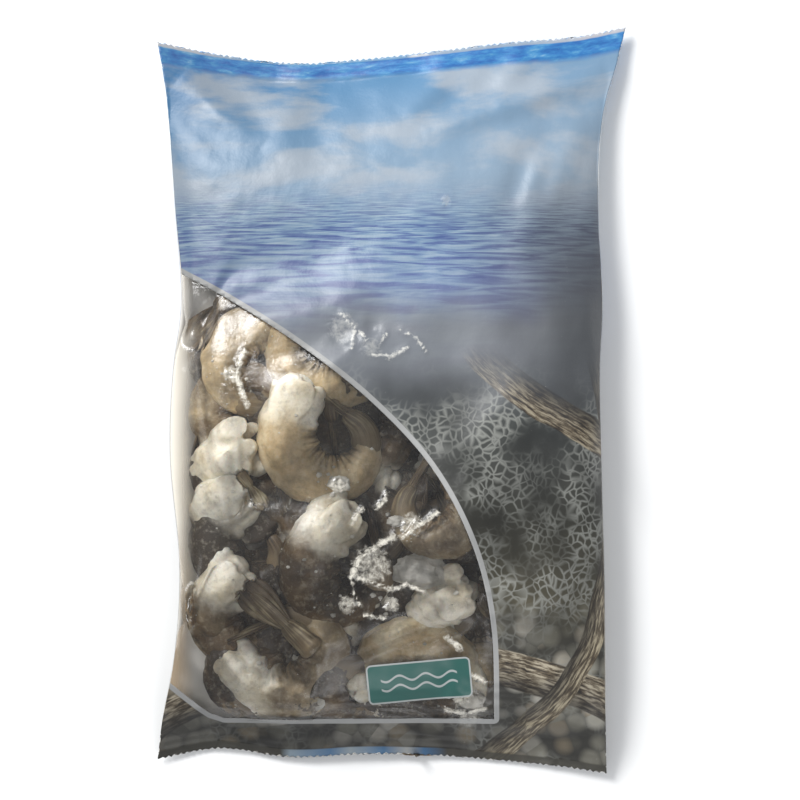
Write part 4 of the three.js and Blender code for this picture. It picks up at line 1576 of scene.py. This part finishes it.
def printed_bands(tree, picture, place, across, along):
    """The plain bands on the end seals, with pale patches where they were pressed."""
    streaks = add(tree, "Mapping", {"Vector": place, "Scale": (1 / 9, 1 / 3, 1)})
    pressed = add(
        tree, "TexNoise", {"Vector": streaks, "Scale": 1.0, "Detail": 5.0, "Roughness": 0.6},
        out="Fac",
    )
    blue = add(
        tree, "ValToRGB", {"Fac": pressed},
        ramp=[(0.36, "#1a68b8"), (0.5, "#2f84cc"), (0.6, "#4c9dd6"), (0.72, "#90c2e2")],
    )
    edge = PACK_HIGH.y / MM
    wave = add(tree, "Math", {0: pressed, 1: 3.0, 2: along}, operation="MULTIPLY_ADD")
    on_top = add(
        tree, "MapRange",
        {
            "Value": wave,
            "From Min": edge - SEAL_BAND,
            "From Max": edge - SEAL_BAND + 3.0,
            "To Max": 0.95,
        },
    )
    picture = add(tree, "Mix", {"Factor": on_top, "A": picture, "B": blue}, **COLOURS)
    rim = add(
        tree, "MapRange",
        {"Value": along, "From Min": edge - 2.6, "From Max": edge - 2.0, "To Max": 0.8},
    )
    cut = add(
        tree, "ValToRGB",
        {"Fac": add(tree, "MapRange", {"Value": across, "From Min": -115.0, "From Max": 115.0})},
        ramp=[
            (0.1, "#e4dfdb"), (0.22, "#8fb6d2"), (0.53, "#8fb6d2"), (0.54, "#efeeea"),
            (0.57, "#efeeea"), (0.58, "#b9c6d0"), (0.78, "#b9c6d0"), (0.9, "#e4dfdb"),
        ],
    )
    picture = add(tree, "Mix", {"Factor": rim, "A": picture, "B": cut}, **COLOURS)
    strip = add(
        tree, "ValToRGB",
        {"Fac": add(tree, "MapRange", {"Value": across, "From Min": -52.0, "From Max": 26.0})},
        ramp=[
            (0.0, "#4b4942"), (0.06, "#9fb1be"), (0.3, "#5f88b0"), (0.42, "#a9b6be"),
            (0.62, "#5381ab"), (0.76, "#bcbebc"), (0.86, "#4f7ba5"), (1.0, "#4b4942"),
        ],
    )
    low = add(
        tree, "MapRange",
        {
            "Value": along,
            "From Min": SEAL_STRIP - edge,
            "From Max": SEAL_STRIP - edge - 0.6,
            "To Max": 0.85,
        },
    )
    return add(tree, "Mix", {"Factor": low, "A": picture, "B": strip}, **COLOURS)


def printed_material():
    """Polyethylene film reverse-printed in full colour: a generic seashore, half glossy, with
    painted shade towards its left, its right fold and its bottom, and painted glints on its creases
    and crumples.
    """
    material, tree, output = new_material("printed_polyethylene_film")
    film = add(tree, "UVMap", uv_map="film")
    place = add(tree, "Mapping", {"Vector": film, "Scale": (1000, 1000, 1000)})
    parts = add(tree, "SeparateXYZ", {0: place}).node.outputs
    across, along = parts["X"], parts["Y"]
    wander = add(tree, "TexNoise", {"Vector": place, "Scale": 1 / 55, "Detail": 3.0}, out="Fac")
    level = add(tree, "Math", {0: wander, 1: 34.0, 2: along}, operation="MULTIPLY_ADD")
    flat = add(tree, "Mapping", {"Vector": place, "Scale": (1 / 62, 1 / 27, 1)})
    billow = add(
        tree, "TexNoise",
        {"Vector": flat, "Scale": 1.0, "Detail": 6.0, "Roughness": 0.55, "Distortion": 0.3},
        out="Fac",
    )
    horizon = add(
        tree, "MapRange", {"Value": along, "From Min": HORIZON - 20.0, "From Max": HORIZON + 10.0},
        **EASED,
    )
    far_view = add(
        tree, "Mix",
        {
            "Factor": horizon,
            "A": printed_sea(tree, across, along, level),
            "B": printed_sky(tree, across, along, billow),
        },
        **COLOURS,
    )
    # Partly painted shade: a darker grey towards the right fold, where the print's mist is grey and
    # the pack's right side turns away from the light.
    right_grey_and_shade = add(
        tree, "Math",
        {
            0: add(
                tree, "MapRange",
                {"Value": across, "From Min": 32.0, "From Max": 92.0, "To Max": 0.85}, **EASED,
            ),
            1: add(
                tree, "MapRange", {"Value": along, "From Min": 118.0, "From Max": 55.0}, **EASED
            ),
        },
        operation="MULTIPLY",
    )
    far_view = add(tree, "Mix", {"Factor": right_grey_and_shade, "A": far_view, "B": "#505356"}, **COLOURS)
    near = add(tree, "MapRange", {"Value": level, "From Min": 42.0, "From Max": 8.0}, **EASED)
    picture = add(
        tree, "Mix",
        {"Factor": near, "A": far_view, "B": printed_shore(tree, place, level, wander)}, **COLOURS,
    )
    leftwards = add(
        tree, "MapRange", {"Value": across, "From Min": 75.0, "From Max": 25.0, "To Min": 0.3}
    )
    shadow = add(
        tree, "MapRange", {"Value": along, "From Min": -140.0, "From Max": -168.0, "To Max": 0.65},
        **EASED,
    )
    shadow = add(tree, "Math", {0: shadow, 1: leftwards}, operation="MULTIPLY")
    picture = add(tree, "Mix", {"Factor": shadow, "A": picture, "B": "#1c1a17"}, **COLOURS)
    picture = printed_bands(tree, picture, place, across, along)
    line_width = settings().sizes.window_line / MM
    is_line = add(
        tree, "MapRange",
        {
            "Value": add(tree, "Attribute", attribute_name="from_window", out="Fac"),
            "From Min": line_width + 0.1,
            "From Max": line_width - 0.1,
        },
    )
    picture = add(tree, "Mix", {"Factor": is_line, "A": picture, "B": "#b6b6b4"}, **COLOURS)
    # Painted shade: the inks are darkened towards the left, against the brighter light that falls
    # there.
    depth = add(
        tree, "MapRange",
        {
            "Value": across, "From Min": -95.0, "From Max": 10.0, "To Min": INK_SHARES_AND_LEFT_SHADE[0],
            "To Max": INK_SHARES_AND_LEFT_SHADE[1],
        },
    )
    picture = add(
        tree, "Mix", {"Factor": 1.0, "A": picture, "B": depth}, blend_type="MULTIPLY", **COLOURS
    )
    spot = add(tree, "TexCoord", out="Object")
    # Painted glints: a pale grey stands in for the highlights on the print's creases and crumples.
    picture = add(
        tree, "Mix", {"Factor": painted_glints(tree, spot, 0.35), "A": picture, "B": "#dedcd4"}, **COLOURS
    )
    worn = add(tree, "TexNoise", {"Vector": place, "Scale": 1 / 20, "Detail": 5.0}, out="Fac")
    roughness = add(tree, "MapRange", {"Value": worn, "To Min": 0.32, "To Max": 0.5})
    low_seal = SEAL_STRIP - PACK_HIGH.y / MM
    matt = add(
        tree, "MapRange",
        {"Value": along, "From Min": low_seal + 1.0, "From Max": low_seal, "To Max": 0.85},
    )
    roughness = add(tree, "Math", {0: roughness, 1: matt}, operation="MAXIMUM")
    bump = crumpled_bump(tree, spot, 0.1, 0.8)
    shader = add(
        tree, "BsdfPrincipled",
        {"Base Color": picture, "Roughness": roughness, "IOR": 1.5, "Normal": bump},
    )
    tree.links.new(shader, output.inputs["Surface"])
    return material


def drape(piece, surface, clearance):
    """Drops every point of a flat piece onto a surface below it."""
    points = points_of(piece)
    points[:, 2] = cast_heights(surface, points, -1.0) + clearance
    move_points(piece, points)


def ice_lump(name, subdivisions, roughness, size):
    """One ragged lump of ice with a radius of a millimetre."""
    bpy.ops.object.select_all(action="DESELECT")
    bpy.ops.mesh.primitive_ico_sphere_add(subdivisions=subdivisions, radius=MM)
    lump = bpy.context.object
    lump.name = name
    roughen(lump, name, size, roughness)
    return lump


def crumb_spots(outline):
    """Places for frost crumbs under the window, half of them in crumpled film: X, Y, radius."""
    random = Random(5)
    found = []
    while len(found) < CRUMB_COUNT:
        if random.random() < 0.5:
            x, y, radius = random.choice(CRUMPLES)
            x, y = random.gauss(x, radius * 0.55), random.gauss(y, radius * 0.55)
        else:
            x, y = random.uniform(-92, 48), random.uniform(-146, 70)
        spot = np.array([[x, y]]) * MM
        if is_inside(outline, spot)[0] and distance_to(outline, spot)[0] > 3 * MM:
            found.append((x, y, 0.3 + 1.1 * random.random() ** 2.5))
    return found


class SHRIMPPACK_OT_ice(bpy.types.Operator):
    """Scatter frost crumbs and lay a few lumps of ice between the shrimp and the window"""

    bl_idname = "shrimppack.ice"
    bl_label = "Ice"

    def execute(self, context):
        random = Random(3)
        film = tree_of(bpy.data.objects["window_film"])
        beds = [tree_of(bpy.data.objects[name]) for name in ("upper_shrimp", "lower_shrimp")]
        gap = settings().sizes.film_gauge + settings().sizes.film_gap
        look = ice_material()
        crumb, lump = ice_lump("crumb", *CRUMB_SHAPE), ice_lump("lump", *LUMP_SHAPE)
        crumbs, lumps = [], []
        for x, y, radius in crumb_spots(window_outline()):
            crumbs.append(
                self.lay(
                    crumb, (x, y), (radius, radius * 0.8, radius * 0.6), random, film, beds, gap
                )
            )
        for x, y, radii in ICE_LUMPS:
            lumps.append(self.lay(lump, (x, y), radii, random, film, [], gap))
        for pieces, name in ((crumbs, "frost_crumbs"), (lumps, "ice_lumps")):
            joined = join(pieces, name)
            joined.data.materials.append(look)
            smooth_shaded(joined, 50)
            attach(joined, "root")
            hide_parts("shrimp_pack")
        remove(crumb, lump)
        return {"FINISHED"}

    def lay(self, base, spot, radii, random, film, beds, gap):
        """A turned copy of a lump on the shrimp below its spot, or right under the film."""
        made = copy_of(base, base.name)
        turn = Euler([random.uniform(0, math.tau) for _ in range(3)]).to_matrix()
        if not beds:
            turn = Matrix.Rotation(random.uniform(-0.3, 0.3), 3, "Z")
        points = points_of(made) @ np.array(turn).T * radii
        middle = np.array([[spot[0] * MM, spot[1] * MM, 0.0]])
        ceiling = cast_heights(film, middle, -1.0)[0] - gap - points[:, 2].max()
        grounds = [cast_heights(bed, middle, -1.0)[0] for bed in beds]
        ground = np.nanmax(grounds + [-1.0]) + 0.4 * radii[2] * MM if beds else ceiling
        middle[0, 2] = min(ground, ceiling) if ground > 0 else ceiling
        move_points(made, points + middle)
        if not beds:
            press_under(made, film, gap)
        return made


def ice_material():
    """Frost and ice: clouded frozen water with air in it, rough where it is frosted."""
    material, tree, output = new_material("frosted_ice")
    place = add(tree, "TexCoord", out="Object")
    grain = add(
        tree, "TexNoise",
        {"Vector": place, "Scale": 1 / (1.1 * MM), "Detail": 4.0, "Roughness": 0.65}, out="Fac",
    )
    frosty = add(
        tree, "TexNoise", {"Vector": place, "Scale": 1 / (6 * MM), "Detail": 4.0}, out="Fac"
    )
    bump = add(tree, "Bump", {"Strength": 0.8, "Distance": 0.6 * MM, "Height": grain}, out="Normal")
    colour = add(tree, "ValToRGB", {"Fac": frosty}, ramp=[(0.4, "#cfccc2"), (0.58, "#f0ece2")])
    see_through = add(
        tree, "MapRange",
        {"Value": frosty, "From Min": 0.42, "From Max": 0.6, "To Min": 0.35, "To Max": 0.05},
    )
    shader = add(
        tree, "BsdfPrincipled",
        {
            "Base Color": colour, "Roughness": 0.4, "IOR": 1.31,
            "Transmission Weight": see_through, "Normal": bump,
        },
    )
    tree.links.new(shader, output.inputs["Surface"])
    return material


class SHRIMPPACK_OT_badge(bpy.types.Operator):
    """Print a plain badge with two wave lines on the clear window"""

    bl_idname = "shrimppack.badge"
    bl_label = "Badge"

    def execute(self, context):
        sizes = settings().sizes
        width, height = sizes.label_width, sizes.label_height
        bpy.ops.object.select_all(action="DESELECT")
        bpy.ops.mesh.primitive_plane_add(size=1)
        badge = context.object
        badge.name = "window_badge"
        badge.scale = (width, height, 1)
        bpy.ops.object.transform_apply(location=False, rotation=False, scale=True)
        bpy.ops.object.mode_set(mode="EDIT")
        bpy.ops.mesh.select_all(action="SELECT")
        bpy.ops.mesh.bevel(offset=BADGE_CORNER * MM, segments=5, affect="VERTICES")
        for axis, length in ((0, width), (1, height)):
            for i in range(1, round(length / BADGE_STEP / MM)):
                normal = [0.0, 0.0, 0.0]
                normal[axis] = 1.0
                spot = [n * (i * BADGE_STEP * MM - length / 2) for n in normal]
                bpy.ops.mesh.select_all(action="SELECT")
                bpy.ops.mesh.bisect(plane_co=spot, plane_no=normal)
        bpy.ops.object.mode_set(mode="OBJECT")
        points = points_of(badge)
        set_uv(badge, "badge", points[:, 0], points[:, 1])
        turn = np.array(Matrix.Rotation(math.radians(LABEL_TURN), 3, "Z"))
        move_points(badge, points @ turn.T + (LABEL_CENTRE[0] * MM, LABEL_CENTRE[1] * MM, 0))
        drape(badge, tree_of(bpy.data.objects["window_film"]), BADGE_CLEARANCE * MM)
        finish(badge, "SOLIDIFY", thickness=BADGE_THICKNESS * MM, offset=-1)
        badge.data.materials.append(badge_material(width, height))
        smooth_shaded(badge, 80)
        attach(badge, "root")
        return {"FINISHED"}


def badge_material(width, height):
    """Opaque printing ink on the clear film: flat teal inside a thin pale line."""
    material, tree, output = new_material("teal_printing_ink")
    spot = add(tree, "UVMap", uv_map="badge")
    size = add(tree, "VectorMath", {0: spot}, operation="ABSOLUTE")
    corner = BADGE_CORNER * MM
    inner = (width / 2 - corner, height / 2 - corner, 1.0)
    past = add(tree, "VectorMath", {0: size, 1: inner}, operation="SUBTRACT")
    past = add(tree, "VectorMath", {0: past, 1: (0, 0, 0)}, operation="MAXIMUM")
    reach = add(tree, "VectorMath", {0: past}, out="Value", operation="LENGTH")
    border = add(
        tree, "MapRange",
        {"Value": reach, "From Min": corner - 0.85 * MM, "From Max": corner - 0.7 * MM},
    )
    parts = add(tree, "SeparateXYZ", {0: spot}).node.outputs
    swing = add(tree, "Math", {0: parts["X"], 1: WAVE_RATE}, operation="MULTIPLY")
    swing = add(tree, "Math", {0: swing}, operation="SINE")
    level = add(
        tree, "Math", {0: swing, 1: -WAVE_HEIGHT * MM, 2: parts["Y"]}, operation="MULTIPLY_ADD"
    )
    apart = add(tree, "Math", {0: level}, operation="ABSOLUTE")
    apart = add(tree, "Math", {0: apart, 1: WAVE_SPREAD * MM}, operation="SUBTRACT")
    apart = add(tree, "Math", {0: apart}, operation="ABSOLUTE")
    waves = add(tree, "MapRange", {"Value": apart, "From Min": 0.6 * MM, "From Max": 0.45 * MM})
    within = add(
        tree, "MapRange",
        {
            "Value": add(tree, "Math", {0: parts["X"]}, operation="ABSOLUTE"),
            "From Min": width * 0.37,
            "From Max": width * 0.36,
        },
    )
    waves = add(tree, "Math", {0: waves, 1: within}, operation="MULTIPLY")
    pale = add(tree, "Math", {0: waves, 1: border}, operation="MAXIMUM")
    ink = settings().colours.badge[:]
    colour = add(tree, "Mix", {"Factor": pale, "A": ink, "B": "#a2a7a5"}, **COLOURS)
    shader = add(tree, "BsdfPrincipled", {"Base Color": colour, "Roughness": 0.32, "IOR": 1.5})
    tree.links.new(shader, output.inputs["Surface"])
    return material


# ---- The stage ----


class SHRIMPPACK_OT_stage(bpy.types.Operator):
    """Lay a plain pale floor and set the lights and the camera"""

    bl_idname = "shrimppack.stage"
    bl_label = "Stage"

    def execute(self, context):
        bpy.ops.object.select_all(action="DESELECT")
        bpy.ops.mesh.primitive_plane_add(size=FLOOR_SIZE)
        floor = context.object
        floor.name = "floor"
        material, tree, output = new_material("matt_white_board")
        shader = add(tree, "BsdfPrincipled", {"Base Color": "#f4f4f3", "Roughness": 0.9})
        tree.links.new(shader, output.inputs["Surface"])
        floor.data.materials.append(material)
        world = context.scene.world or bpy.data.worlds.new("studio")
        context.scene.world = world
        world.use_nodes = True
        background = world.node_tree.nodes["Background"]
        background.inputs["Color"].default_value = linear("#f3f6fb")
        background.inputs["Strength"].default_value = 0.6
        for name, place, size, power in LIGHTS:
            bpy.ops.object.light_add(type="AREA", location=place)
            light = context.object
            light.name = name
            light.data.shape = "RECTANGLE"
            light.data.size, light.data.size_y = size
            light.data.energy = power
            light.rotation_euler = (
                Vector((0, 0, 0)) - Vector(place)
            ).to_track_quat("-Z", "Y").to_euler()
        bpy.ops.object.camera_add(location=(VIEW_CENTRE[0], VIEW_CENTRE[1], CAMERA_HEIGHT))
        camera = context.object
        camera.data.sensor_width = SENSOR_WIDTH
        camera.data.lens = SENSOR_WIDTH * (CAMERA_HEIGHT - EDGE_HEIGHT) / VIEW_WIDTH
        camera.data.dof.use_dof = False
        context.scene.camera = camera
        context.scene.view_settings.view_transform = "Standard"
        return {"FINISHED"}


class SHRIMPPACK_PT_panel(bpy.types.Panel):
    """Lists the settings and the steps that build the pack"""

    bl_idname = "SHRIMPPACK_PT_panel"
    bl_label = "Frozen Shrimp Pack"
    bl_space_type = "VIEW_3D"
    bl_region_type = "UI"
    bl_category = "Shrimp Pack"

    def draw(self, context):
        for group in (settings().sizes, settings().colours):
            box = self.layout.box()
            for name in group.__annotations__:
                box.prop(group, name)
        for step in STEPS:
            self.layout.operator(step.bl_idname)


STEPS = (
    SHRIMPPACK_OT_stage, SHRIMPPACK_OT_shrimp, SHRIMPPACK_OT_film, SHRIMPPACK_OT_ice,
    SHRIMPPACK_OT_badge,
)
CLASSES = (ShrimpPackSizes, ShrimpPackColours, ShrimpPackSettings, *STEPS, SHRIMPPACK_PT_panel)


def register():
    for found in CLASSES:
        bpy.utils.register_class(found)
    bpy.types.Scene.shrimp_pack = bpy.props.PointerProperty(type=ShrimpPackSettings)


def unregister():
    del bpy.types.Scene.shrimp_pack
    for found in reversed(CLASSES):
        bpy.utils.unregister_class(found)


def main():
    register()
    bpy.ops.shrimppack.stage()
    bpy.ops.shrimppack.shrimp()
    bpy.ops.shrimppack.film()
    bpy.ops.shrimppack.ice()
    bpy.ops.shrimppack.badge()


if __name__ == "__main__":
    main()
